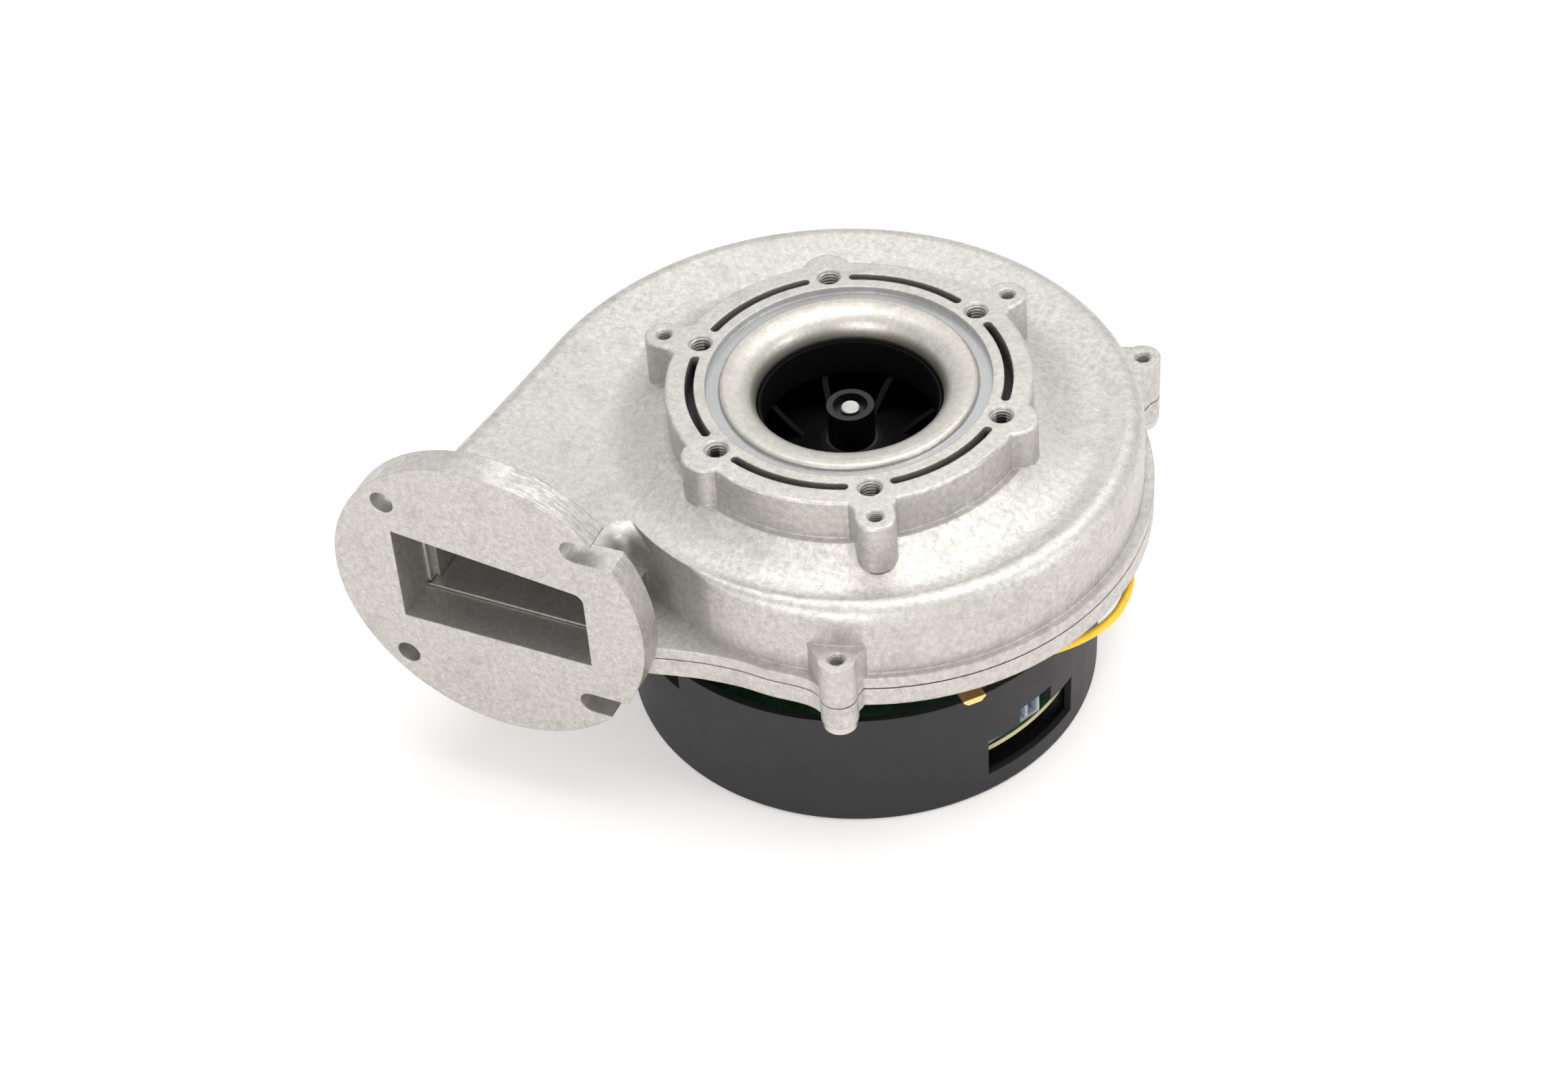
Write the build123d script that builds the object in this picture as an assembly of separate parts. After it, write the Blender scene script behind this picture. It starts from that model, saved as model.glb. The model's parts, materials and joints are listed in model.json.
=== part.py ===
from build123d import *
import math
import os

# Premix gas blower: a die-cast scroll housing with a round outlet flange, a closed impeller on a
# vertical shaft, and an external-rotor motor with its control board in a moulded cover underneath.
# Millimetres. The origin is on the shaft axis, at the face that the blower stands on. +Z points up
# along the shaft towards the inlet, and the outlet blows towards -Y.

# Heights, each measured from the piece below it
cover_height = 39.5
bell_headroom = 9.0
lower_rim_depth = 5.6
gasket_thickness = 0.4
seam_flange_thickness = 3.4
ear_height = 13.0
valley_rise = 25.4
cone_rise = 5.0
collar_height = 11.8
shaft_rise = 32.5
hub_lip = 0.5
outlet_rise = 12.2

# Scroll, seen from above: the wall opens out from the tongue to the duct, anticlockwise
tongue_angle = -101.0
scroll_start_radius = 67.3
scroll_end_radius = 87.4
scroll_end_angle = 150.0
scroll_arcs = 6
wall = 3.0
seam_lip_start = 1.5
seam_lip_end = 4.0
notch_corner_left = (-41.5, -57.0)
notch_corner_right = (-34.0, -57.0)
tongue_fillet = 12.0
flange_bite = 1.0
notch_fillet_left = 4.0
notch_fillet_right = 6.0
gusset_corner = (-24.0, -72.6)

# Roof of the upper casting
collar_base_radius = 50.0
valley_radius = 64.5
roof_rise = 0.13
cone_foot_radius = 66.0
cone_slope = 0.42
shoulder_fillet = 4.5
roof_thickness = 3.2
roof_reach = 135.0

# Inlet collar
collar_radius = 48.1
inlet_pcd = 85.0
inlet_holes = 6
inlet_hole_radius = 3.0
inlet_hole_depth = 11.0
inlet_boss_radius = 6.6
inlet_boss_offset = 3.2
meter_pcd = 106.4
meter_holes = 3
meter_first_angle = 60.0
meter_hole_radius = 2.0
meter_hole_depth = 9.0
meter_arm_radius = 5.2
collar_slot_radius = 41.7
collar_slot_width = 2.4
collar_slot_half_angle = 21.0
collar_slot_depth = 8.0
groove_outer_radius = 37.6
groove_inner_radius = 34.1
groove_depth = 2.0
lip_top_radius = 31.6
lip_drop = 0.4
throat_radius = 24.5
bell_height = 8.6
hole_chamfer = 0.4
collar_edge_fillet = 0.7

# Outlet flange
outlet_centre_x = -68.0
outlet_face_y = -81.7
outlet_flange_radius = 44.5
outlet_flange_thickness = 8.0
outlet_pitch = 54.0
outlet_hole_radius = 3.3
mouth_left = -26.0
mouth_right = 28.5
mouth_bottom = -12.8
mouth_top_left = 17.3
mouth_top_right = 11.9
mouth_corner_radius = 3.0
mouth_draft = 0.4
duct_left = -25.6
duct_right = 24.0
duct_outer_left = -28.5
duct_outer_right = 30.5
lip_depth = 4.0
joint_gap = 0.3

# Ears that join the two castings, as x, y, the way each one faces and its web's half width
ears = [
    (24.6, -69.9, -70.6, 8.6),
    (58.2, 65.5, 48.4, 8.6),
    (-42.5, 79.9, 118.0, 8.6),
    (-86.4, 31.5, 160.0, 8.6),
    (-99.8, -57.0, 180.0, 8.6),
    (-39.0, -61.5, -90.0, 4.9),
]
ear_nose_radius = 4.9
ear_flare = 3.5
ear_root_depth = 13.0
ear_hole_radius = 2.0
ear_screw_engagement = 9.0
ear_screw_head_radius = 4.5
ear_screw_head_height = 2.4
ear_skirt = 1.6
screw_recess_share = 0.55
screw_clearance = 0.3
hole_end_gap = 2.0
thread_clearance = 0.05

# Impeller
impeller_radius = 58.0
blade_count = 8
blade_thickness = 1.6
blade_sweep = 34.0
blade_bend_share = 0.36
blade_root_radius = 13.0
blade_eye_radius = 23.0
plate_thickness = 1.8
plate_profile = [(5.5, 22.2), (8.2, 21.6), (14.0, 18.2), (25.0, 13.4), (40.0, 8.2)]
plate_rim_rise = 4.2
impeller_hub_radius = 6.3
impeller_hub_length = 17.0
hub_sink_radius = 4.6
hub_sink_depth = 2.2
shroud_eye_radius = 25.2
shroud_eye_rise = 1.0
shroud_shoulder_radius = 49.0
shroud_shoulder_rise = 3.4
shroud_rim_drop = 4.2
shroud_thickness = 1.6

# Lower casting
floor_thickness = 3.4
rim_width = 4.2
dome_gap = 1.8
dome_foot_radius = 54.0
dome_top_radius = 11.5
post_radius = 4.5
post_circle = 56.5
post_angles = [-125.0, -5.0, 115.0]
post_hole_radius = 1.65
post_hole_depth = 12.0
rib_count = 6
rib_thickness = 2.4
rib_gap = 1.8
rib_first_angle = 25.0
rib_reach = 64.0
tube_boss_radius = 12.5
tube_boss_gap = 1.4

# Shaft, bearings and motor
shaft_radius = 2.5
shaft_stub = 1.8
bearing_outer_radius = 7.0
bearing_width = 5.0
bearing_ring = 1.2
upper_bearing_rise = 3.0
ball_radius = 0.95
ball_count = 7
ball_cage_thickness = 0.5
tube_radius = 9.0
tube_skirt = 2.0
tube_shoulder = 1.2
core_height = 15.0
core_radius = 26.0
core_back_radius = 14.0
tooth_count = 9
tooth_width = 4.6
shoe_thickness = 2.4
slot_opening = 2.4
insulator_thickness = 1.0
coil_build = 3.2
coil_overhang = 3.0
coil_room_share = 0.8
magnet_inner_radius = 26.6
magnet_thickness = 2.9
magnet_lift = 7.6
magnet_height = 22.0
bell_wall = 1.6
bell_gap = 4.4
bell_lip = 1.0
bell_windows = 6
bell_window_share = 0.6
bush_radius = 6.0
bush_height = 7.3
washer_thickness = 0.8
washer_radius = 4.6
circlip_thickness = 0.7
circlip_radius = 4.3
circlip_groove_radius = 2.15
circlip_mouth = 70.0
tube_lip = 1.0

# Motor cover
cover_rim_radius = 65.6
cover_foot_radius = 64.7
cover_wall = 2.0
cover_floor = 2.5
cover_edge_fillet = 1.8
window_from = -36.5
window_to = -7.6
window_bottom = 7.3
window_top = 20.4
key_from = -27.3
key_to = -16.7
key_top = 26.0
notch_angles = [-120.0, 0.0, 120.0]
rim_notch_half_angle = 5.6
rim_notch_depth = 7.5
cover_boss_radius = 5.0
head_sink_depth = 2.8
cover_screw_radius = 1.6
cover_screw_head_radius = 3.0
cover_screw_head_height = 2.2

# Control board and what stands on it
board_radius = 61.5
board_thickness = 1.6
board_standoff = 9.9
board_bore = 9.0
board_hole_radius = 2.0
header_angle = -27.0
header_width = 21.8
header_reach = 60.4
header_depth = 11.0
header_height = 8.0
header_wall = 1.0
header_bar = 2.4
header_back = 2.0
header_ways = 5
pin_side = 0.9
pin_tail = 1.6
pin_set_back = 2.4
capacitor_radius = 8.0
capacitor_length = 20.0
capacitor_groove_depth = 0.64
capacitor_groove_width = 1.2
capacitor_groove_height = 2.4
capacitor_reach = 49.0
capacitor_angle = -150.0
choke_reach = 47.0
choke_angle = 165.0
choke_radius = 7.0
choke_bore = 3.2
choke_height = 8.0
module_reach = 46.0
module_angle = 75.0
module_size = (24.0, 12.0, 5.0)
module_leg_height = 1.25
module_legs = 9

# Earth point and its lead
earth_angle = -42.0
earth_boss_radius = 5.0
earth_boss_circle = 52.0
earth_boss_gap = 5.5
earth_hole_radius = 1.65
earth_screw_radius = 1.6
earth_screw_head_radius = 3.2
earth_screw_head_height = 2.2
tab_width = 6.3
tab_thickness = 0.8
tab_tip_radius = 70.4
tab_chamfer = 1.3
tab_fold = 1.9
tab_eye_radius = 4.2
eyelet_radius = 3.6
eyelet_thickness = 0.8
eyelet_angle = 9.9
barrel_start = 4.4
barrel_end = 10.0
barrel_radius = 1.6
lead_radius = 1.2
lead_route = [
    (62.6, -30.6, 42.6),
    (75.3, -12.6, 46.8),
    (77.6, 1.8, 46.8),
    (72.5, 13.2, 46.0),
    (61.0, 17.5, 43.5),
    (52.4, 14.8, 35.0),
]
plug_place = (52.4, 14.8)
plug_size = (5.0, 8.0, 5.2)

# Cuts run on past a face by a margin, and a cut that ends in a face passes it by a sliver
cut_margin = 1.0
sliver = 0.01
drill_point_share = 0.6

# Values that follow from the ones above
board_bottom = cover_floor + board_standoff
board_top = board_bottom + board_thickness
bell_bottom = board_top + bell_gap
magnet_bottom = bell_bottom + magnet_lift
bell_rim_height = magnet_bottom + magnet_height + bell_lip
core_bottom = magnet_bottom + (magnet_height - core_height) / 2
core_top = core_bottom + core_height
lower_bearing_bottom = bell_bottom + bush_height + washer_thickness
lower_bearing_top = lower_bearing_bottom + bearing_width
tube_bottom = lower_bearing_bottom - tube_skirt
shaft_bottom = bell_bottom - shaft_stub
rib_bottom = bell_rim_height + rib_gap
tube_boss_bottom = bell_rim_height + tube_boss_gap
seam_height = bell_rim_height + bell_headroom
upper_bearing_bottom = seam_height + upper_bearing_rise
upper_bearing_top = upper_bearing_bottom + bearing_width
shaft_top = seam_height + shaft_rise
hub_top = shaft_top + hub_lip
impeller_hub_bottom = hub_top - impeller_hub_length
outlet_centre_z = seam_height + outlet_rise
valley_height = seam_height + valley_rise
collar_base_height = valley_height + cone_rise
collar_top = collar_base_height + collar_height
shroud_rim_height = valley_height - shroud_rim_drop
shroud_shoulder_height = shroud_rim_height + shroud_shoulder_rise
shroud_eye_height = shroud_shoulder_height + shroud_eye_rise
plate_rim = (impeller_radius, seam_height + plate_rim_rise)
plate_line = [*((radius, seam_height + rise) for radius, rise in plate_profile), plate_rim]
earth_boss_bottom = cover_height + earth_boss_gap
lower_rim_bottom = seam_height - lower_rim_depth
floor_bottom = seam_height - floor_thickness
ear_foot = lower_rim_bottom - ear_skirt
gasket_top = seam_height + gasket_thickness
flange_top = gasket_top + seam_flange_thickness
ear_top = gasket_top + ear_height
outlet_back_y = outlet_face_y + outlet_flange_thickness
duct_end_y = outlet_back_y + lip_depth
bearing_inner_radius = shaft_radius + bearing_ring
ball_orbit = (bearing_inner_radius + bearing_outer_radius - bearing_ring) / 2
tube_top = upper_bearing_top + tube_lip
magnet_outer_radius = magnet_inner_radius + magnet_thickness
bell_radius = magnet_outer_radius + bell_wall
posts = [(post_circle, angle) for angle in post_angles]
earth_plate_bottom = earth_boss_bottom - tab_thickness
eyelet_bottom = earth_plate_bottom - eyelet_thickness
header_pitch = (header_width - header_wall) / header_ways


def polar(radius, degrees):
    return (radius * math.cos(math.radians(degrees)), radius * math.sin(math.radians(degrees)))


def turned(shape, degrees):
    return Rot(0, 0, degrees) * shape


def ring(outer, inner, bottom, height):
    """A plain ring or tube about the shaft axis."""
    return extrude(Pos(0, 0, bottom) * (Circle(outer) - Circle(inner)), height)


def disc(radius, bottom, height):
    return extrude(Pos(0, 0, bottom) * Circle(radius), height)


def spun(points):
    """A solid of revolution about the shaft axis, from a closed outline of (radius, height)."""
    return revolve(Plane.XZ * make_face(Polyline(*points, close=True)), Axis.Z)


def sector(inner, outer, start, end):
    """A flat ring segment between two angles."""
    outline = [
        CenterArc((0, 0), outer, start, end - start),
        Line(polar(outer, end), polar(inner, end)),
        CenterArc((0, 0), inner, end, start - end),
        Line(polar(inner, start), polar(outer, start)),
    ]
    return make_face(outline)


def scroll_face(lip_start, lip_end, left_x, front_y, tongue_points):
    """The scroll's plan: arcs that open out like an involute, the duct's side, the tongue side."""
    start_radius = scroll_start_radius + lip_start
    growth = scroll_end_radius + lip_end - start_radius
    sweep = (scroll_end_angle - tongue_angle) / scroll_arcs
    step = math.tan(math.radians(sweep / 2))
    evolute = growth / (2 * scroll_arcs * step)
    reach = math.sqrt(start_radius ** 2 - evolute ** 2)
    start = tongue_angle - math.degrees(math.atan(evolute / reach))
    arcs = []
    for i in range(scroll_arcs + 1):
        at = start + i * sweep
        centre = polar(evolute / math.cos(math.radians(sweep / 2)), at + 90 + sweep / 2)
        radius = reach + (2 * i + 1) * evolute * step
        if i == scroll_arcs:
            across = (left_x - centre[0], front_y - centre[1])
            turn = math.acos(radius / math.hypot(*across))
            sweep = math.degrees(math.atan2(across[1], across[0]) - turn) + 360 - at
        arcs.append(CenterArc(centre, radius, at, sweep))
    side = Line(arcs[-1] @ 1, (left_x, front_y))
    front = Polyline((left_x, front_y), *tongue_points, arcs[0] @ 0)
    return make_face([*arcs, side, *front.edges()])


def nearest(shape, x, y):
    """The corner of a flat face that lies closest to a point of the plan."""
    return shape.vertices().sort_by(lambda corner: math.hypot(corner.X - x, corner.Y - y))[0]


def wall_face():
    """Plan of the scroll wall, with the open notch between its tongue and the outlet flange."""
    left_x = outlet_centre_x + duct_outer_left
    right_x = outlet_centre_x + duct_outer_right
    tongue_side = [(right_x, outlet_back_y), notch_corner_left, notch_corner_right]
    face = scroll_face(0, 0, left_x, outlet_back_y, tongue_side)
    face = fillet(nearest(face, *polar(scroll_start_radius, tongue_angle)), tongue_fillet)
    face = fillet(nearest(face, *notch_corner_left), notch_fillet_left)
    return fillet(nearest(face, *notch_corner_right), notch_fillet_right)


def seam_face():
    """Plan of the seam: the wall with its lip, and the flat gusset that fills the notch."""
    left_x = outlet_centre_x + duct_outer_left - seam_lip_end
    front_y = outlet_back_y - flange_bite
    gusset = [(gusset_corner[0] - flange_bite, front_y), gusset_corner]
    return scroll_face(seam_lip_start, seam_lip_end, left_x, front_y, gusset)


def roof_height(radius):
    return valley_height + roof_rise * (radius - valley_radius)


def under_roof(drop):
    """All that lies below the plain roof, which rises a little towards its outer edge."""
    outline = Polyline(
        (0, 0),
        (0, roof_height(0) - drop),
        (roof_reach, roof_height(roof_reach) - drop),
        (roof_reach, 0),
        close=True,
    )
    return revolve(Plane.XZ * make_face(outline), Axis.Z)


def under_cone(drop):
    """The cone on which the collar stands, with a hollow foot that runs out into the roof."""
    slope = Line((0, collar_base_height - drop), (collar_base_radius, collar_base_height - drop))
    foot = Spline(
        (collar_base_radius, collar_base_height - drop),
        (cone_foot_radius, roof_height(cone_foot_radius) - drop),
        tangents=[(1, -cone_slope), (1, roof_rise)],
    )
    rest = Polyline(
        (cone_foot_radius, roof_height(cone_foot_radius) - drop),
        (cone_foot_radius, gasket_top),
        (0, gasket_top),
        (0, collar_base_height - drop),
    )
    return revolve(Plane.XZ * make_face([*slope.edges(), *foot.edges(), *rest.edges()]), Axis.Z)


def tapped_hole(radius, depth):
    """What a tapped blind hole takes away, from its chamfered mouth at the top down to its cone."""
    point = depth + radius * drill_point_share
    return spun(
        [
            (0, cut_margin),
            (radius + hole_chamfer, cut_margin),
            (radius + hole_chamfer, 0),
            (radius, -hole_chamfer),
            (radius, -depth),
            (0, -point),
        ]
    )


def collar_plan():
    """Round collar with a boss at each large hole and an arm out to each small one."""
    plan = Circle(collar_radius)
    for i in range(inlet_holes):
        boss = Pos(inlet_pcd / 2 + inlet_boss_offset, 0) * Circle(inlet_boss_radius)
        plan += turned(boss, i * 360 / inlet_holes)
    for i in range(meter_holes):
        reach = meter_pcd / 2
        arm = Pos(reach / 2, 0) * Rectangle(reach, 2 * meter_arm_radius)
        arm += Pos(reach, 0) * Circle(meter_arm_radius)
        plan += turned(arm, meter_first_angle + i * 360 / meter_holes)
    return plan


def inlet_cut():
    """The rolled bell mouth, the throat and the machined groove round the lip."""
    lip_height = collar_top - lip_drop
    bell_start = lip_height - bell_height
    groove_floor = collar_top - groove_depth
    lip_round = (groove_inner_radius - lip_top_radius) / 2
    above = collar_top + cut_margin
    bell = Spline(
        (throat_radius, bell_start), (lip_top_radius, lip_height), tangents=[(0, 1), (1, 0)]
    )
    rounding = CenterArc(
        (groove_inner_radius - lip_round, lip_height - lip_round), lip_round, 0, 90
    )
    rest = Polyline(
        (groove_inner_radius, lip_height - lip_round),
        (groove_inner_radius, groove_floor),
        (groove_outer_radius, groove_floor),
        (groove_outer_radius, above),
        (0, above),
        (0, collar_base_height - 2 * roof_thickness),
        (throat_radius, collar_base_height - 2 * roof_thickness),
        (throat_radius, bell_start),
    )
    top = Line((lip_top_radius, lip_height), (groove_inner_radius - lip_round, lip_height))
    return revolve(Plane.XZ * make_face([bell, top, rounding, *rest.edges()]), Axis.Z)


def collar_holes():
    cuts = []
    for i in range(inlet_holes):
        hole = Pos(inlet_pcd / 2, 0, collar_top) * tapped_hole(inlet_hole_radius, inlet_hole_depth)
        cuts.append(turned(hole, i * 360 / inlet_holes))
        start = (i + 0.5) * 360 / inlet_holes - collar_slot_half_angle
        arc = CenterArc((0, 0), collar_slot_radius, start, 2 * collar_slot_half_angle)
        slot = Pos(0, 0, collar_top - collar_slot_depth) * SlotArc(arc, collar_slot_width)
        cuts.append(extrude(slot, collar_slot_depth + cut_margin))
    for i in range(meter_holes):
        hole = Pos(meter_pcd / 2, 0, collar_top) * tapped_hole(meter_hole_radius, meter_hole_depth)
        cuts.append(turned(hole, meter_first_angle + i * 360 / meter_holes))
    return cuts


def outlet_plane(depth):
    """The outlet flange's own plane, sunk by a depth behind its face, with up along +Z."""
    origin = (outlet_centre_x, outlet_face_y + depth, outlet_centre_z)
    return Plane(origin=origin, x_dir=(1, 0, 0), z_dir=(0, -1, 0))


def outlet_flange():
    """Round flange with two holes on its left and two slots that run out of its right edge."""
    disc = Circle(outlet_flange_radius)
    for side in (-1, 1):
        disc -= Pos(-outlet_pitch / 2, side * outlet_pitch / 2) * Circle(outlet_hole_radius)
        reach = outlet_flange_radius
        slot = Pos(outlet_pitch / 2, side * outlet_pitch / 2) * Circle(outlet_hole_radius)
        slot += Pos(outlet_pitch / 2 + reach / 2, side * outlet_pitch / 2) * Rectangle(
            reach, 2 * outlet_hole_radius
        )
        disc -= slot
    return extrude(outlet_plane(outlet_flange_thickness) * disc, outlet_flange_thickness)


def mouth_plan(left, right, top_left, top_right):
    outline = Polyline(
        (left, mouth_bottom), (right, mouth_bottom), (right, top_right), (left, top_left), close=True
    )
    plan = make_face(outline)
    return fillet(nearest(plan, right, top_right), mouth_corner_radius)


def outlet_mouth():
    """The duct's last stretch, which opens towards the flange's face."""
    near = mouth_plan(mouth_left, mouth_right, mouth_top_left, mouth_top_right)
    far = mouth_plan(duct_left, duct_right, mouth_top_left - mouth_draft, mouth_top_right)
    front = outlet_plane(-sliver) * near
    back = outlet_plane(duct_end_y - outlet_face_y + cut_margin) * far
    return loft([front, back])


def ear_plan(web_half_width):
    """A round nose about the screw, with a web that widens towards the wall behind it."""
    web = Polyline(
        (0, ear_nose_radius),
        (-ear_root_depth, web_half_width),
        (-ear_root_depth, -web_half_width),
        (0, -ear_nose_radius),
        close=True,
    )
    return make_face(web) + Circle(ear_nose_radius)


def at_ear(ear, shape, height):
    x, y, facing = ear[:3]
    return Pos(x, y, height) * Rot(0, 0, facing) * shape


def seam_plan():
    """The seam's plan with the flared feet of the ears."""
    plan = seam_face()
    for ear in ears:
        plan += at_ear(ear, ear_plan(ear[3] + ear_flare), 0)
    return plan


def front_trim():
    """What the outlet flange and the duct's floor lip take from the front of the lower parts."""
    width = duct_outer_right - duct_outer_left + 2 * joint_gap
    middle = outlet_centre_x + (duct_outer_right + duct_outer_left) / 2
    lip = Pos(middle, duct_end_y + joint_gap - lip_depth, seam_height) * Box(
        width, 2 * lip_depth, seam_height
    )
    flange = Pos(middle, outlet_back_y + joint_gap - lip_depth, seam_height) * Box(
        2 * roof_reach, 2 * lip_depth, seam_height
    )
    return lip + flange


def is_shoulder(edge):
    """Whether an edge of the plain body lies where the roof meets the wall behind the flange."""
    middle = edge.center()
    run = edge @ 1 - edge @ 0
    high = middle.Z > (flange_top + roof_height(0)) / 2 and middle.Y > outlet_back_y + joint_gap
    level = math.hypot(run.X, run.Y) > wall / 10
    return high and level and math.hypot(middle.X, middle.Y) > collar_base_radius


def upper_housing():
    """Upper casting: scroll wall and roof, inlet collar, outlet flange, seam flange and ears."""
    plan = wall_face()
    body = extrude(Pos(0, 0, gasket_top) * plan, roof_reach) & under_roof(0)
    body = fillet(body.edges().filter_by(is_shoulder), shoulder_fillet) + under_cone(0)
    body += extrude(Pos(0, 0, gasket_top) * seam_plan(), seam_flange_thickness)
    for ear in ears:
        body += at_ear(ear, extrude(ear_plan(ear[3]), ear_height), gasket_top)
    base = Pos(0, 0, collar_base_height - roof_thickness)
    collar = extrude(base * collar_plan(), collar_height + roof_thickness)
    body += fillet(collar.edges().group_by(Axis.Z)[-1], collar_edge_fillet)
    body += outlet_flange()
    lip_width = duct_outer_right - duct_outer_left
    lip_middle = outlet_centre_x + (duct_outer_right + duct_outer_left) / 2
    body += Pos(lip_middle, outlet_back_y + lip_depth / 2, (lower_rim_bottom + gasket_top) / 2) * Box(
        lip_width, lip_depth, gasket_top - lower_rim_bottom
    )
    cavity = extrude(Pos(0, 0, seam_height) * offset(plan, amount=-wall), roof_reach)
    body -= cavity & (under_roof(roof_thickness) + under_cone(roof_thickness))
    body -= outlet_mouth()
    body -= inlet_cut()
    for cut in collar_holes():
        body -= cut
    for ear in ears:
        hole = tapped_hole(ear_hole_radius, ear_height + cut_margin)
        body -= at_ear(ear, hole, ear_top)
    return body


def housing_gasket():
    """Thin gasket that fills the seam between the castings."""
    cavity = offset(wall_face(), amount=-wall)
    plan = seam_plan() - cavity
    for ear in ears:
        plan -= at_ear(ear, Circle(ear_hole_radius + screw_clearance), 0)
    return extrude(Pos(0, 0, seam_height) * plan, gasket_thickness) - front_trim()


def dome_line(drop):
    """Outline of the dome under the impeller, from its foot to its top."""
    fall = plate_thickness + dome_gap + drop
    line = [(dome_foot_radius, seam_height - drop)]
    inner = [p for p in plate_line if dome_top_radius < p[0] < dome_foot_radius]
    line += [(radius, height - fall) for radius, height in reversed(inner)]
    return line


def lower_housing():
    """Lower casting: floor with its skirt, dome under the impeller, ribs, posts and bosses."""
    body = extrude(Pos(0, 0, lower_rim_bottom) * seam_plan(), lower_rim_depth)
    pocket = offset(wall_face(), amount=-rim_width)
    body -= extrude(Pos(0, 0, lower_rim_bottom) * pocket, floor_bottom - lower_rim_bottom)
    body -= disc(dome_foot_radius, lower_rim_bottom, lower_rim_depth)
    top = dome_line(0)
    under = dome_line(floor_thickness)
    inside = [(tube_radius, under[-1][1]), (tube_radius, top[-1][1])]
    body += spun([*under, *inside, *reversed(top)])
    for i in range(rib_count):
        rib = Pos(rib_reach / 2, 0, top[-1][1]) * Box(
            rib_reach, rib_thickness, 2 * (top[-1][1] - rib_bottom)
        )
        body += turned(rib, rib_first_angle + i * 360 / rib_count) & rib_room()
    body += ring(tube_boss_radius, tube_radius, tube_boss_bottom, under[-1][1] - tube_boss_bottom)
    for place in posts:
        post = Pos(*polar(*place), board_top) * extrude(Circle(post_radius), floor_bottom - board_top)
        body += post
        body -= Pos(*polar(*place), board_top) * extrude(Circle(post_hole_radius), post_hole_depth)
    boss = Circle(earth_boss_radius) - Circle(earth_hole_radius)
    earth = Pos(*polar(earth_boss_circle, earth_angle), earth_boss_bottom)
    body += earth * extrude(boss, floor_bottom - earth_boss_bottom)
    for ear in ears:
        body += at_ear(ear, extrude(Circle(ear_nose_radius), lower_rim_depth + ear_skirt), ear_foot)
        hole = extrude(Circle(ear_hole_radius + screw_clearance), 2 * lower_rim_depth)
        body -= at_ear(ear, hole, ear_foot - cut_margin)
    return body - front_trim()


def rib_room():
    """The room for ribs under the dome and the floor, down to the ribs' lower edge."""
    middle = floor_thickness / 2
    line = dome_line(middle)
    start = (rib_reach, seam_height - middle)
    return spun(
        [(tube_radius, rib_bottom), (rib_reach, rib_bottom), start, *line, (tube_radius, line[-1][1])]
    )


def screw(radius, length, head_radius, head_height):
    """Pan-head screw that points up, with its head under the origin and a hexagon socket in it."""
    body = extrude(Circle(radius), length) + Pos(0, 0, -head_height) * extrude(
        Circle(head_radius), head_height
    )
    socket = RegularPolygon(head_radius * screw_recess_share, 6)
    return body - Pos(0, 0, -head_height) * extrude(socket, head_height * screw_recess_share)


def housing_screws():
    """Screws that come up through the lower casting's ears into the upper one's."""
    length = gasket_top + ear_screw_engagement - ear_foot
    shank = ear_hole_radius - thread_clearance
    one = screw(shank, length, ear_screw_head_radius, ear_screw_head_height)
    return Compound([at_ear(ear, one, ear_foot) for ear in ears])


def motor_cover():
    """Moulded cup round the motor and the board, with a keyed window and three rim notches."""
    body = spun(
        [
            (0, 0),
            (cover_foot_radius, 0),
            (cover_rim_radius, cover_height),
            (cover_rim_radius - cover_wall, cover_height),
            (cover_foot_radius - cover_wall, cover_floor),
            (0, cover_floor),
        ]
    )
    body = fillet(body.edges().group_by(Axis.Z)[0], cover_edge_fillet)
    inner = cover_foot_radius - 2 * cover_wall
    window = sector(inner, inner + 4 * cover_wall, window_from, window_to)
    body -= extrude(Pos(0, 0, window_bottom) * window, window_top - window_bottom)
    key = sector(inner, inner + 4 * cover_wall, key_from, key_to)
    body -= extrude(Pos(0, 0, window_bottom) * key, key_top - window_bottom)
    for angle in notch_angles:
        notch = sector(
            inner, inner + 4 * cover_wall, angle - rim_notch_half_angle, angle + rim_notch_half_angle
        )
        depth = rim_notch_depth + cut_margin
        body -= extrude(Pos(0, 0, cover_height - rim_notch_depth) * notch, depth)
    for place in posts:
        at = Pos(*polar(*place), 0)
        body += at * Pos(0, 0, cover_floor / 2) * extrude(
            Circle(cover_boss_radius), board_bottom - cover_floor / 2
        )
        body -= at * extrude(Circle(cover_screw_radius + screw_clearance), board_top)
        body -= at * extrude(Circle(cover_screw_head_radius + screw_clearance), head_sink_depth)
    return body


def cover_screws():
    """Screws that hold the cover and the board to the lower casting's posts."""
    length = board_top + post_hole_depth - hole_end_gap - head_sink_depth
    one = screw(cover_screw_radius, length, cover_screw_head_radius, cover_screw_head_height)
    return Compound([Pos(*polar(*place), head_sink_depth) * one for place in posts])


def header_cell(i):
    """Middle of one of the header's ways, across its width."""
    return (i + 0.5) * header_pitch - (header_width - header_wall) / 2


def circuit_board():
    """Round board with a centre opening, screw holes and the holes for the header's pins."""
    body = ring(board_radius, board_bore, board_bottom, board_thickness)
    for place in posts:
        hole = extrude(Circle(board_hole_radius), board_thickness)
        body -= Pos(*polar(*place), board_bottom) * hole
    leg = header_reach - header_depth + header_back / 2
    side = pin_side + 2 * thread_clearance
    for i in range(header_ways):
        hole = Pos(leg, header_cell(i), board_bottom) * Box(side, side, 3 * board_thickness)
        body -= turned(hole, header_angle)
    return body


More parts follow.
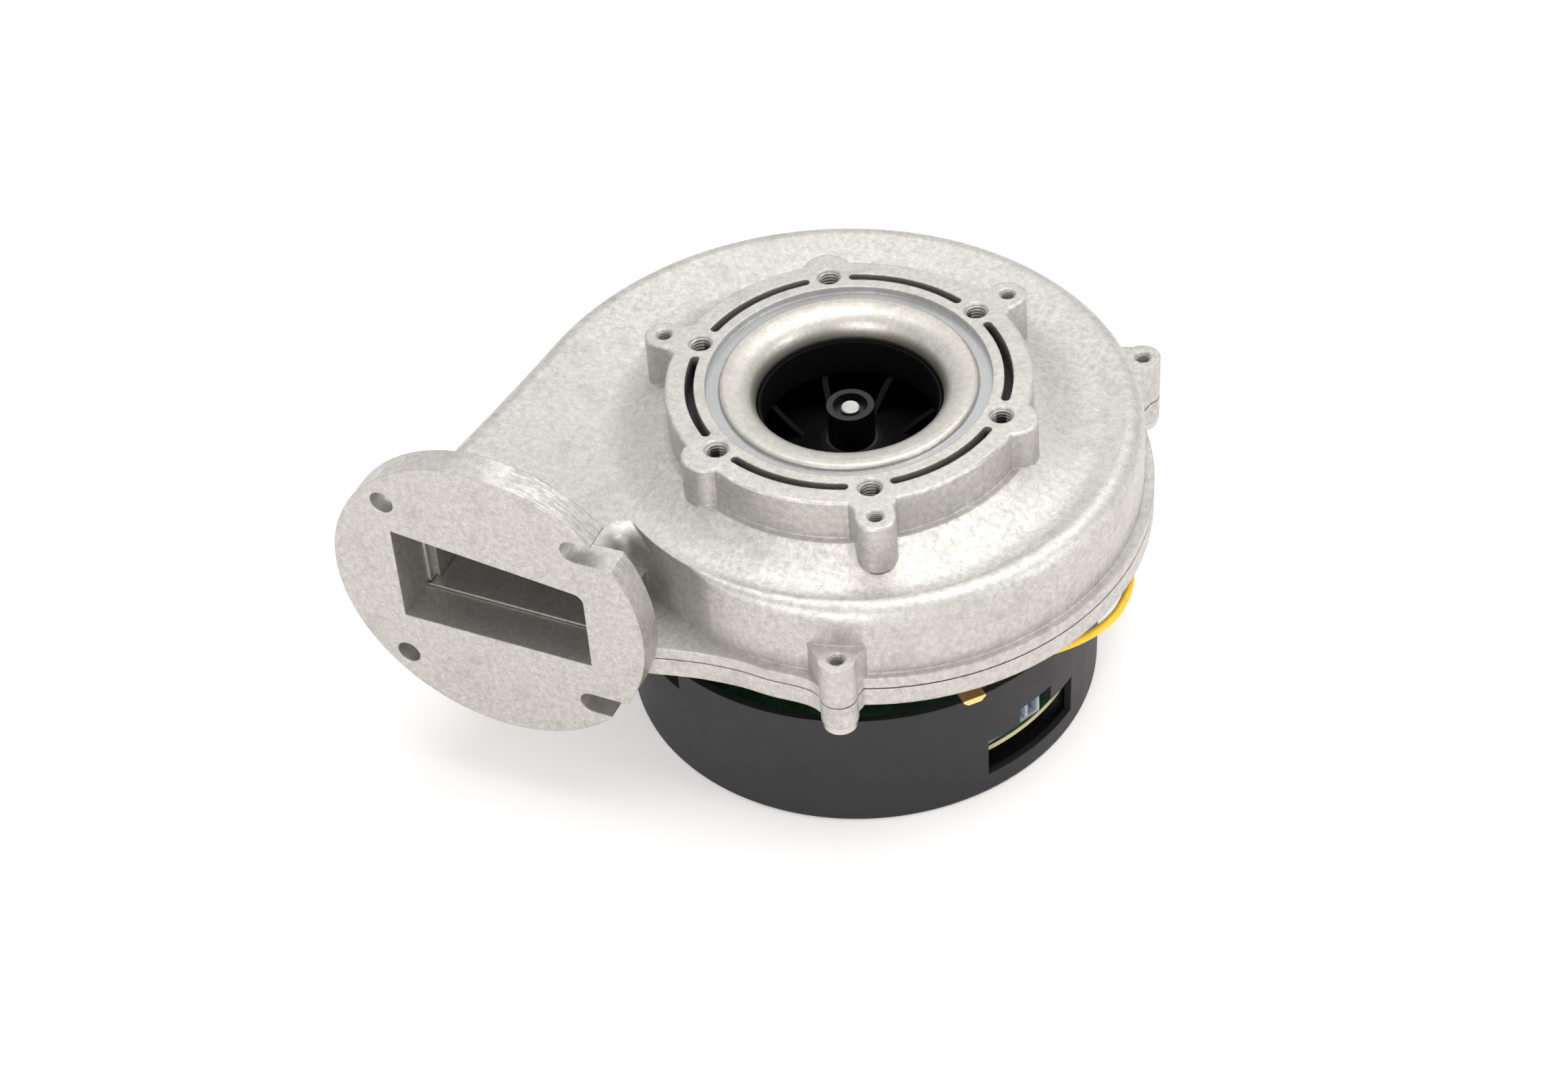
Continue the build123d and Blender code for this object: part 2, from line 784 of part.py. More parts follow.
def signal_connector():
    """Edge header with one open cell for each way, under a bar along its top."""
    middle = header_reach - header_depth / 2
    body = Pos(middle, 0, board_top + header_height / 2) * Box(
        header_depth, header_width, header_height
    )
    cell_height = header_height - header_bar - header_wall
    cell_depth = header_depth - header_back
    for i in range(header_ways):
        cell = Box(cell_depth, header_pitch - header_wall, cell_height)
        at = (header_reach - cell_depth / 2, header_cell(i))
        body -= Pos(*at, board_top + header_wall + cell_height / 2) * cell
    return turned(body, header_angle) - connector_pins()


def connector_pins():
    """Square pins, bent from the cell's middle down through the board."""
    height = board_top + header_wall + (header_height - header_bar - header_wall) / 2
    leg = header_reach - header_depth + header_back / 2
    tail = board_bottom - pin_tail
    reach = header_reach - pin_set_back - leg + pin_side / 2
    pins = []
    for i in range(header_ways):
        pin = Pos(leg, 0, (tail + height) / 2) * Box(pin_side, pin_side, height - tail)
        pin += Pos(leg - pin_side / 2 + reach / 2, 0, height) * Box(reach, pin_side, pin_side)
        pins.append(turned(Pos(0, header_cell(i), 0) * pin, header_angle))
    return Compound(pins)


def bulk_capacitor():
    """Standing electrolytic can with a rolled groove near its foot."""
    can = extrude(Circle(capacitor_radius), capacitor_length)
    can = fillet(can.edges().group_by(Axis.Z)[-1], capacitor_radius / 10)
    floor = Circle(capacitor_radius - capacitor_groove_depth)
    groove = extrude(Circle(capacitor_radius) - floor, capacitor_groove_width)
    can -= Pos(0, 0, capacitor_groove_height) * groove
    return Pos(*polar(capacitor_reach, capacitor_angle), board_top) * can


def line_choke():
    """Wound ring core that stands flat on the board."""
    core = extrude(Circle(choke_radius) - Circle(choke_bore), choke_height)
    rims = core.edges().filter_by(GeomType.CIRCLE)
    core = fillet(rims, (choke_radius - choke_bore) / 3)
    return Pos(*polar(choke_reach, choke_angle), board_top) * core


def power_module():
    """Flat driver package with a row of short legs on each long side."""
    length, width, height = module_size
    body = Pos(0, 0, height / 2) * Box(length, width, height)
    for i in range(module_legs):
        x = (i + 0.5) * length / module_legs - length / 2
        body += Pos(x, 0, module_leg_height / 2) * Box(pin_side, width + 2 * pin_side, module_leg_height)
    place = polar(module_reach, module_angle)
    return Pos(*place, board_top) * Rot(0, 0, module_angle + 90) * body


def at_earth(shape, height):
    return Pos(*polar(earth_boss_circle, earth_angle), height) * shape


def earth_tab():
    """Flat tab under the earth boss, with its tip bent down and the tip's corners cut off."""
    reach = tab_tip_radius - earth_boss_circle
    plan = Circle(tab_eye_radius) + Pos(reach / 2, 0) * Rectangle(reach, tab_width)
    plan -= Circle(earth_screw_radius + screw_clearance)
    body = extrude(plan, tab_thickness)
    tip = Pos(reach - tab_thickness / 2, 0, tab_thickness - tab_fold / 2) * Box(
        tab_thickness, tab_width, tab_fold
    )
    corners = tip.edges().filter_by(Axis.X).group_by(Axis.Z)[0]
    body += chamfer(corners, tab_chamfer)
    return at_earth(Rot(0, 0, earth_angle) * body, earth_plate_bottom)


def lead_eyelet():
    """Ring terminal on the earth screw, with the barrel that grips the lead."""
    eye = Circle(eyelet_radius) + Pos(barrel_start / 2, 0) * Rectangle(barrel_start, 2 * barrel_radius)
    eye -= Circle(earth_screw_radius + screw_clearance)
    body = extrude(eye, eyelet_thickness)
    barrel = Plane(origin=(barrel_start, 0, eyelet_thickness - barrel_radius), z_dir=(1, 0, 0))
    body += extrude(barrel * Circle(barrel_radius), barrel_end - barrel_start)
    return at_earth(Rot(0, 0, eyelet_angle) * body, eyelet_bottom)


def earth_screw():
    """Screw that holds the tab and the ring terminal up against the earth boss."""
    length = floor_bottom - hole_end_gap - eyelet_bottom
    return at_earth(
        screw(earth_screw_radius, length, earth_screw_head_radius, earth_screw_head_height),
        eyelet_bottom,
    )


def cord_path(points):
    """Straight runs joined by tangent arcs, each as large as its two runs allow."""
    places = [Vector(*point) for point in points]
    pieces = []
    last = places[0]
    for before, corner, after in zip(places, places[1:], places[2:]):
        arriving = corner - before
        leaving = after - corner
        cut = 0.45 * min(arriving.length, leaving.length)
        start = corner - arriving.normalized() * cut
        end = corner + leaving.normalized() * cut
        turn = math.radians(arriving.get_angle(leaving))
        print("lead bend radius", round(cut / math.tan(turn / 2), 1))
        pieces += [Line(last, start), TangentArc(start, end, tangent=arriving)]
        last = end
    pieces.append(Line(last, places[-1]))
    return Wire([edge for piece in pieces for edge in piece.edges()])


def earth_lead():
    """Insulated lead that leaves the ring terminal, loops outside and comes down to its plug."""
    centre = polar(earth_boss_circle, earth_angle)
    along = polar(barrel_end, eyelet_angle)
    middle = eyelet_bottom + eyelet_thickness - barrel_radius
    start = (centre[0] + along[0], centre[1] + along[1], middle)
    end = (*plug_place, board_top + plug_size[2])
    path = cord_path([start, *lead_route, end])
    lead = sweep((path ^ 0) * Circle(lead_radius), path=path)
    expected = math.pi * lead_radius ** 2 * path.length
    print("lead length", round(path.length, 1), "volume", round(lead.volume), "of", round(expected))
    return lead


def lead_plug():
    """Small socket housing that the lead ends in, on the board."""
    body = Pos(*plug_place, board_top + plug_size[2] / 2) * Box(*plug_size)
    return chamfer(body.edges().filter_by(Axis.Z), plug_size[0] / 8)


def bearing_tube():
    """Tube in the lower casting that carries the stator outside and both bearings inside."""
    inner = bearing_outer_radius - tube_shoulder
    return spun(
        [
            (tube_radius, tube_bottom),
            (tube_radius, tube_top),
            (bearing_outer_radius, tube_top),
            (bearing_outer_radius, upper_bearing_bottom),
            (inner, upper_bearing_bottom),
            (inner, lower_bearing_top),
            (bearing_outer_radius, lower_bearing_top),
            (bearing_outer_radius, tube_bottom),
        ]
    )


def bearing_outer_ring(bottom):
    return ring(bearing_outer_radius, bearing_outer_radius - bearing_ring, bottom, bearing_width)


def bearing_inner_ring(bottom):
    return ring(bearing_inner_radius, shaft_radius, bottom, bearing_width)


def ball_places(bottom):
    angles = [(i + 0.5) * 360 / ball_count for i in range(ball_count)]
    return [(*polar(ball_orbit, angle), bottom + bearing_width / 2) for angle in angles]


def bearing_balls():
    """The balls of both bearings."""
    places = ball_places(upper_bearing_bottom) + ball_places(lower_bearing_bottom)
    return Compound([Pos(*place) * Sphere(ball_radius) for place in places])


def bearing_cages():
    """Crown cage of each bearing: a ring over the balls with a prong down between each two."""
    inner = ball_orbit - ball_cage_thickness / 2
    outer = ball_orbit + ball_cage_thickness / 2
    lean = math.degrees((ball_radius + 2 * thread_clearance) / ball_orbit)
    pitch = 360 / ball_count
    crown = ring(outer, inner, ball_radius + thread_clearance, ball_cage_thickness)
    for i in range(ball_count):
        prong = sector(inner, outer, i * pitch + lean - pitch / 2, i * pitch - lean + pitch / 2)
        height = 2 * ball_radius + thread_clearance + ball_cage_thickness / 2
        crown += extrude(Pos(0, 0, -ball_radius) * prong, height)
    bottoms = (upper_bearing_bottom, lower_bearing_bottom)
    return Compound([Pos(0, 0, bottom + bearing_width / 2) * crown for bottom in bottoms])


def core_plan():
    """Plan of the stator core: a back ring, its teeth and the shoes that face the magnet."""
    plan = Circle(core_back_radius)
    pitch = 360 / tooth_count
    gap = math.degrees(slot_opening / core_radius)
    reach = core_radius - shoe_thickness / 2
    for i in range(tooth_count):
        plan += turned(Pos(reach / 2, 0) * Rectangle(reach, tooth_width), i * pitch)
        start = i * pitch - (pitch - gap) / 2
        plan += sector(core_radius - shoe_thickness, core_radius, start, start + pitch - gap)
    return plan - Circle(tube_radius)


def stator_core():
    """Stack of stator laminations on the bearing tube."""
    return extrude(Pos(0, 0, core_bottom) * core_plan(), core_height)


def stator_insulators():
    """Moulded insulation over the core's back and round each of its teeth."""
    plan = Circle(core_back_radius)
    width = tooth_width + 2 * insulator_thickness
    reach = core_radius - shoe_thickness
    for i in range(tooth_count):
        plan += turned(Pos(reach / 2, 0) * Rectangle(reach, width), i * 360 / tooth_count)
    plan -= Circle(tube_radius)
    height = core_height + 2 * insulator_thickness
    body = extrude(Pos(0, 0, core_bottom - insulator_thickness) * plan, height)
    return body - stator_core()


def stator_coils():
    """One wound coil round each tooth, wider towards the shoe where there is more room."""
    inner = core_back_radius + insulator_thickness
    outer = core_radius - shoe_thickness - insulator_thickness / 2
    half = tooth_width / 2 + insulator_thickness
    room = inner * math.tan(math.pi / tooth_count) - half
    plan = make_face(
        Polyline(
            (inner, half + room * coil_room_share),
            (outer, half + coil_build),
            (outer, -half - coil_build),
            (inner, -half - room * coil_room_share),
            close=True,
        )
    )
    plan = (plan & Circle(outer)) - Pos(core_radius / 2, 0) * Rectangle(core_radius, 2 * half)
    sleeve = insulator_thickness + coil_overhang
    sides = extrude(Pos(0, 0, core_bottom - sleeve) * plan, core_height + 2 * sleeve)
    across = Pos((inner + outer) / 2, 0) * Rectangle(outer - inner, 2 * half)
    bottom = extrude(Pos(0, 0, core_bottom - sleeve) * across, coil_overhang)
    top = extrude(Pos(0, 0, core_top + insulator_thickness) * across, coil_overhang)
    coil = sides + (bottom + top & disc(outer, 0, seam_height))
    return Compound([turned(coil, i * 360 / tooth_count) for i in range(tooth_count)])


def motor_shaft():
    """Ground shaft with the groove for its retaining ring."""
    body = Pos(0, 0, shaft_bottom) * extrude(Circle(shaft_radius), shaft_top - shaft_bottom)
    ends = body.edges().filter_by(GeomType.CIRCLE)
    body = chamfer(ends, shaft_radius / 8)
    outside = shaft_radius + cut_margin
    return body - ring(outside, circlip_groove_radius, upper_bearing_top, circlip_thickness)


def retaining_ring():
    """Open spring ring in the shaft's groove, over the upper bearing."""
    body = ring(circlip_radius, circlip_groove_radius, upper_bearing_top, circlip_thickness)
    mouth = sector(circlip_groove_radius / 2, 2 * circlip_radius, -circlip_mouth / 2, circlip_mouth / 2)
    return body - extrude(Pos(0, 0, upper_bearing_top) * mouth, circlip_thickness)


def preload_washer():
    """Spring washer between the rotor's bush and the lower bearing's inner ring."""
    bottom = lower_bearing_bottom - washer_thickness
    return ring(washer_radius, shaft_radius, bottom, washer_thickness)


def rotor_bush():
    """Bush that ties the bell to the shaft."""
    return ring(bush_radius, shaft_radius, bell_bottom, bush_height)


def rotor_bell():
    """Drawn steel bell round the stator, with cooling windows in its floor."""
    body = spun(
        [
            (bush_radius, bell_bottom),
            (bell_radius, bell_bottom),
            (bell_radius, bell_rim_height),
            (magnet_outer_radius, bell_rim_height),
            (magnet_outer_radius, bell_bottom + bell_wall),
            (bush_radius, bell_bottom + bell_wall),
        ]
    )
    pitch = 360 / bell_windows
    for i in range(bell_windows):
        end = (i + bell_window_share) * pitch
        window = sector(2 * bush_radius, magnet_inner_radius - bell_wall, i * pitch, end)
        body -= extrude(Pos(0, 0, bell_bottom) * window, bell_wall)
    return fillet(body.edges().group_by(Axis.Z)[0].filter_by(is_bell_edge), bell_wall / 2)


def is_bell_edge(edge):
    return edge.geom_type == GeomType.CIRCLE and edge.radius > magnet_outer_radius


def rotor_magnet():
    """Magnet ring inside the bell."""
    return ring(magnet_outer_radius, magnet_inner_radius, magnet_bottom, magnet_height)


def shroud_line(drop):
    return [
        (shroud_eye_radius, shroud_eye_height - drop),
        (shroud_shoulder_radius, shroud_shoulder_height - drop),
        (impeller_radius, shroud_rim_height - drop),
    ]


def impeller_shroud():
    """Front plate of the impeller, with its open eye."""
    return spun([*shroud_line(0), *reversed(shroud_line(shroud_thickness))])


def blade_room():
    """The room between the back plate and the front plate that the blades fill."""
    floor = [(r, z - plate_thickness / 2) for r, z in plate_line if r > blade_root_radius]
    root = (blade_root_radius, floor[0][1])
    ceiling = list(reversed(shroud_line(shroud_thickness)))
    leading = (blade_eye_radius, ceiling[-1][1])
    return spun([root, *floor, *ceiling, leading])


def impeller():
    """Back plate with its hub and the backward-curved blades."""
    under = [(radius, height - plate_thickness) for radius, height in plate_line]
    body = spun([*plate_line, *reversed(under)])
    body += disc(impeller_hub_radius, impeller_hub_bottom, hub_top - impeller_hub_bottom)
    middle = (blade_root_radius + impeller_radius) / 2
    curve = ThreePointArc(
        polar(blade_root_radius - blade_thickness, 0),
        polar(middle, -blade_sweep * blade_bend_share),
        polar(impeller_radius + blade_thickness, -blade_sweep),
    )
    strip = extrude(trace(curve, blade_thickness), collar_top)
    blade = strip & blade_room()
    for i in range(blade_count):
        body += turned(blade, i * 360 / blade_count)
    body -= disc(hub_sink_radius, hub_top - hub_sink_depth, hub_sink_depth)
    return body - disc(shaft_radius, impeller_hub_bottom - cut_margin, hub_top)


parts = {
    "upper_housing": upper_housing(),
    "lower_housing": lower_housing(),
    "housing_gasket": housing_gasket(),
    "housing_screws": housing_screws(),
    "motor_cover": motor_cover(),
    "cover_screws": cover_screws(),
    "circuit_board": circuit_board(),
    "signal_connector": signal_connector(),
    "connector_pins": connector_pins(),
    "bulk_capacitor": bulk_capacitor(),
    "line_choke": line_choke(),
    "power_module": power_module(),
    "earth_tab": earth_tab(),
    "earth_screw": earth_screw(),
    "lead_eyelet": lead_eyelet(),
    "earth_lead": earth_lead(),
    "lead_plug": lead_plug(),
    "bearing_tube": bearing_tube(),
    "upper_bearing_outer_ring": bearing_outer_ring(upper_bearing_bottom),
    "lower_bearing_outer_ring": bearing_outer_ring(lower_bearing_bottom),
    "stator_core": stator_core(),
    "stator_insulators": stator_insulators(),
    "stator_coils": stator_coils(),
    "motor_shaft": motor_shaft(),
    "impeller": impeller(),
    "impeller_shroud": impeller_shroud(),
    "rotor_bell": rotor_bell(),
    "rotor_bush": rotor_bush(),
    "rotor_magnet": rotor_magnet(),
    "upper_bearing_inner_ring": bearing_inner_ring(upper_bearing_bottom),
    "lower_bearing_inner_ring": bearing_inner_ring(lower_bearing_bottom),
    "retaining_ring": retaining_ring(),
    "preload_washer": preload_washer(),
    "bearing_balls": bearing_balls(),
    "bearing_cages": bearing_cages(),
}

os.makedirs("parts", exist_ok=True)
for name, part in parts.items():
    export_step(part, os.path.join("parts", name + ".step"))
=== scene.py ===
import json
import math

import bpy
import numpy as np
from mathutils import Matrix, Vector


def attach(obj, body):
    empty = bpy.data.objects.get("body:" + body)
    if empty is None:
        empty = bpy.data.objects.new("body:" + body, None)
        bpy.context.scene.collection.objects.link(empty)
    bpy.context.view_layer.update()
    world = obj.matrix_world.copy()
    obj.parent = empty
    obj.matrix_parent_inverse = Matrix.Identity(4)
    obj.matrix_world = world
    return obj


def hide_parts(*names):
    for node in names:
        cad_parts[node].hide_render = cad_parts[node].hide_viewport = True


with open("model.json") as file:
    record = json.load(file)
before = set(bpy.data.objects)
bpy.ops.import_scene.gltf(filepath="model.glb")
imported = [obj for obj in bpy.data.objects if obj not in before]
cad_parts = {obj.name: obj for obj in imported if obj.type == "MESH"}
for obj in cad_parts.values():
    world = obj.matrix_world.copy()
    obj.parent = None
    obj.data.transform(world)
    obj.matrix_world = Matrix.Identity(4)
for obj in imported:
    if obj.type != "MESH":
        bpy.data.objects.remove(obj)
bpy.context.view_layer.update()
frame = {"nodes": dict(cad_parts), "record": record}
nodes = frame["nodes"]
mm = 0.001
print("frame loaded with", len(nodes), "pieces")

# Colours, shader nodes and masks, which every finish uses
mixFirst, mixSecond = 6, 7  # the colour sockets of a Mix node
waveStep = math.pi / 10  # the period of a Wave texture at scale 1, in metres
bevelSamples = 4


def linear(hexColour):
    # sRGB hex to the linear colour a shader wants
    values = [int(hexColour[i:i + 2], 16) / 255 for i in (1, 3, 5)]
    return (*(v / 12.92 if v <= 0.04045 else ((v + 0.055) / 1.055) ** 2.4 for v in values), 1.0)


def addNode(tree, kind, sockets=None, **settings):
    # one node: its settings, then a value, a hex colour or a wire for each socket; a node given as a
    # value is wired from its first output that is in use
    node = tree.nodes.new("ShaderNode" + kind)
    for name, value in settings.items():
        setattr(node, name, value)
    for name, value in (sockets or {}).items():
        if isinstance(value, bpy.types.Node):
            value = next(output for output in value.outputs if output.enabled)
        if isinstance(value, bpy.types.NodeSocket):
            tree.links.new(value, node.inputs[name])
        else:
            node.inputs[name].default_value = linear(value) if isinstance(value, str) else value
    return node


def layered(tree, ground, *layers):
    # a ground colour under layers of (mask, strength, colour), each laid over what is below it
    colour = ground
    for mask, strength, over in layers:
        cover = addNode(tree, "Math", {0: mask, 1: strength}, operation="MULTIPLY")
        colour = addNode(tree, "Mix", {"Factor": cover, mixFirst: colour, mixSecond: over},
                         data_type="RGBA")
    return colour


def grain(tree, place, sizeMm, low, high, detail=3.0, roughness=0.55):
    # noise with blotches of that size in mm, stretched so that low gives 0 and high gives 1
    noise = addNode(tree, "TexNoise", {"Vector": place, "Scale": 1 / (sizeMm * mm), "Detail": detail,
                                       "Roughness": roughness})
    return addNode(tree, "MapRange", {"Value": noise, "From Min": low, "From Max": high})


def where(tree, *limits):
    # 1 where every value is past its limit; a limit is (value, start, full) in mm, and its mask rises
    # from 0 at start to 1 at full, whichever of the two is higher
    product = None
    for value, start, full in limits:
        mask = addNode(tree, "MapRange", {"Value": value, "From Min": start * mm, "From Max": full * mm})
        product = addNode(tree, "Math", {0: product, 1: mask}, operation="MULTIPLY") if product else mask
    return product


def band(value, low, high, soft):
    # the two limits that hold a value between low and high, with soft edges
    return (value, low - soft, low + soft), (value, high + soft, high - soft)


def measuredFrom(tree, place, centre=(0, 0, 0), across=(1, 1, 0)):
    # the coordinates from a centre in mm, and the distance from the line through it; across is 1 for
    # each axis that the distance counts, so that without other values the line is the shaft's axis
    offset = addNode(tree, "VectorMath", {0: place, 1: [value * mm for value in centre]},
                     operation="SUBTRACT")
    along = addNode(tree, "SeparateXYZ", {"Vector": offset}).outputs
    flat = addNode(tree, "VectorMath", {0: offset, 1: across}, operation="MULTIPLY")
    return along, addNode(tree, "VectorMath", {0: flat}, operation="LENGTH")


def newMaterial(name):
    material = bpy.data.materials.new(name)
    material.use_nodes = True
    tree = material.node_tree
    tree.nodes.clear()
    return material, tree, addNode(tree, "TexCoord").outputs["Object"]


def shade(tree, sockets, roughness=None, bump=None, edgeMm=0.0):
    # the surface shader and its output: roughness is (mask, first, last), bump is (height, depth in
    # mm, strength), and edgeMm is the radius at which the light rounds off sharp edges
    if roughness:
        mask, first, last = roughness
        sockets["Roughness"] = addNode(tree, "MapRange", {"Value": mask, "To Min": first,
                                                          "To Max": last})
    if edgeMm:
        sockets["Normal"] = addNode(tree, "Bevel", {"Radius": edgeMm * mm}, samples=bevelSamples)
    if bump:
        height, depthMm, strength = bump
        below = {"Normal": sockets["Normal"]} if edgeMm else {}
        sockets["Normal"] = addNode(tree, "Bump", {"Height": height, "Distance": depthMm * mm,
                                                   "Strength": strength, **below})
    shader = addNode(tree, "BsdfPrincipled", sockets)
    addNode(tree, "OutputMaterial", {"Surface": shader})


# The inlet collar and the outlet flange, as the castings have them, in mm. The collar's look fades
# out over reachDown below its top. The slots' shade is painted shade, dark in their depth, and
# the throat's is painted shade, dark under the bell mouth.
collar = {"top": 100.2, "grooveInner": 34.1, "grooveOuter": 37.6, "grooveSoft": 0.05,
          "slotInner": 40.5, "slotOuter": 42.9, "slotSoft": 0.1, "slotShade": (0.8, 3.5),
          "throat": 27.0, "throatSoft": 0.3, "throatTop": 93.4, "throatShade": 3.0, "darkSoft": 0.4,
          "reachDown": (14.0, 12.0)}
flange = {"x": -68.0, "z": 70.2, "radius": 44.5, "rimSoft": (0.3, 0.1), "backY": -73.7,
          "millFrom": 8.0, "millAbove": 20.0, "millSoft": 2.0, "backSoft": 1.0}

castingLook = {
    # each pattern's size in mm, the noise levels that become 0 and 1, its detail and roughness
    "mottle": (1.7, 0.34, 0.68, 6.0, 0.66),
    "cloud": (34.0, 0.35, 0.65, 2.0),
    "smudge": (9.0, 0.52, 0.7, 5.0, 0.6),
    "fleck": (0.38, 0.6, 0.72, 1.0),
    "skin": (0.8, 0.2, 0.8, 4.0, 0.6),
    "cutterLines": (0.55, 0.45, 0.6, 2.0),
    "fleckTurn": 28, "fleckStretch": (1.0, 2.6, 1.6), "cutterStretch": (0.1, 1.0, 0.1),
    "roughness": (0.52, 0.42), "polish": 0.16, "lipPolish": 0.25, "cutterDepth": 1.5, "edgeMm": 0.6,
}


def milledRim(tree, place):
    # cutter lines along the flange's rim on its upper right, where the sprue was milled off
    along, reach = measuredFrom(tree, place, (flange["x"], 0, flange["z"]), across=(1, 0, 1))
    atRim = (flange["radius"] - soft for soft in flange["rimSoft"])
    rim = where(tree, (reach, *atRim),
                (along["Y"], flange["backY"] + flange["backSoft"], flange["backY"]),
                (along["X"], flange["millFrom"], flange["millFrom"] + flange["millSoft"]),
                (along["Z"], flange["millAbove"], flange["millAbove"] + flange["millSoft"]))
    drawn = addNode(tree, "Mapping", {"Vector": place, "Scale": castingLook["cutterStretch"]})
    lines = grain(tree, drawn, *castingLook["cutterLines"])
    return addNode(tree, "Math", {0: rim, 1: lines}, operation="MULTIPLY")


def collarMasks(tree, place):
    # the groove, the lip, the painted shade in the slots' depth, and the throat's painted soft shade and
    # its painted dark edge
    along, reach = measuredFrom(tree, place)
    height = along["Z"]
    top, inner, throatTop = collar["top"], collar["grooveInner"], collar["throatTop"]
    soft, throatSoft, darkSoft = collar["grooveSoft"], collar["throatSoft"], collar["darkSoft"]
    onCollar = (height, *(top - drop for drop in collar["reachDown"]))
    inSlots = (height, *(top - drop for drop in collar["slotShade"]))
    inThroat = (reach, collar["throat"] + throatSoft, collar["throat"] - throatSoft)
    groove = where(tree, onCollar, *band(reach, inner, collar["grooveOuter"], soft))
    lip = where(tree, onCollar, (reach, inner + soft, inner - soft))
    slotRing = band(reach, collar["slotInner"], collar["slotOuter"], collar["slotSoft"])
    # painted shade: near black in the slots' depth, where only shadow falls
    paintedSlotShade = where(tree, onCollar, inSlots, *slotRing)
    # painted shade and a painted dark edge in the throat under the bell mouth, where only shadow falls
    paintedThroatShade = where(tree, onCollar, inThroat, (height, throatTop + collar["throatShade"], throatTop))
    paintedThroatDark = where(tree, onCollar, inThroat, (height, throatTop + darkSoft, throatTop - darkSoft))
    return groove, lip, paintedSlotShade, paintedThroatShade, paintedThroatDark


def dieCastAluminium():
    # aluminium, pressure die-cast and blasted: matte pale grey, finely mottled, with bright flecks
    material, tree, place = newMaterial("dieCastAluminium")
    streaks = addNode(tree, "Mapping", {"Vector": place, "Scale": castingLook["fleckStretch"],
                                        "Rotation": (0.0, 0.0, math.radians(castingLook["fleckTurn"]))})
    mottle = grain(tree, place, *castingLook["mottle"])
    cloud = grain(tree, place, *castingLook["cloud"])
    smudge = grain(tree, place, *castingLook["smudge"])
    fleck = grain(tree, streaks, *castingLook["fleck"])
    groove, lip, paintedSlotShade, paintedThroatShade, paintedThroatDark = collarMasks(tree, place)
    milled = milledRim(tree, place)
    # the slot and throat layers are painted shade, not the casting's own colour
    colour = layered(tree, "#AAA8A4", (mottle, 1.0, "#CBC9C5"), (cloud, 0.3, "#BCB8B3"),
                     (smudge, 0.4, "#97958F"), (fleck, 0.6, "#F4F3F1"), (groove, 0.5, "#B4B8BE"),
                     (lip, 0.25, "#C6C1B2"), (paintedSlotShade, 0.9, "#1D1C1B"), (paintedThroatShade, 0.5, "#5A554C"),
                     (paintedThroatDark, 0.9, "#1D1C1B"), (milled, 0.5, "#8F8D88"))
    lipShare = addNode(tree, "Math", {0: lip, 1: castingLook["lipPolish"]}, operation="MULTIPLY")
    machined = addNode(tree, "Math", {0: groove, 1: lipShare}, operation="MAXIMUM")
    first, last = castingLook["roughness"]
    cast = addNode(tree, "MapRange", {"Value": mottle, "To Min": first, "To Max": last})
    roughness = addNode(tree, "Math", {0: machined, 1: -castingLook["polish"], 2: cast},
                        operation="MULTIPLY_ADD")
    unmachined = addNode(tree, "Math", {0: 1.0, 1: machined}, operation="SUBTRACT")
    skin = grain(tree, place, *castingLook["skin"])
    skin = addNode(tree, "Math", {0: skin, 1: unmachined}, operation="MULTIPLY")
    skin = addNode(tree, "Math", {0: milled, 1: -castingLook["cutterDepth"], 2: skin},
                   operation="MULTIPLY_ADD")
    shade(tree, {"Base Color": colour, "Metallic": 0.8, "Roughness": roughness},
          bump=(skin, 0.06, 0.55), edgeMm=castingLook["edgeMm"])
    return material


def pressedGasket():
    # graphite gasket sheet, die-cut: a thin dark matte line between the castings
    material, tree, place = newMaterial("pressedGasket")
    fibre = grain(tree, place, 0.6, 0.3, 0.7)
    shade(tree, {"Base Color": layered(tree, "#2B2926", (fibre, 1.0, "#413E3A")), "Roughness": 0.9})
    return material


def zincPlatedSteel():
    # steel screws, zinc plated: pale silver with a faint blue and yellow cast
    material, tree, place = newMaterial("zincPlatedSteel")
    cast = grain(tree, place, 3.0, 0.3, 0.7)
    scuff = grain(tree, place, 0.4, 0.4, 0.7)
    shade(tree, {"Base Color": layered(tree, "#B9BDC4", (cast, 1.0, "#CBC6B8")), "Metallic": 1.0},
          roughness=(scuff, 0.24, 0.42), bump=(scuff, 0.01, 0.4))
    return material


def blackMouldedPolyamide():
    # glass-filled polyamide, injection moulded on a spark-eroded tool: soft black with a fine grain
    material, tree, place = newMaterial("blackMouldedPolyamide")
    tool = grain(tree, place, 0.35, 0.3, 0.7)
    flow = grain(tree, place, 18.0, 0.35, 0.65)
    shade(tree, {"Base Color": layered(tree, "#0B0B0F", (flow, 1.0, "#111116"))},
          roughness=(flow, 0.52, 0.6), bump=(tool, 0.02, 0.35), edgeMm=0.4)
    return material


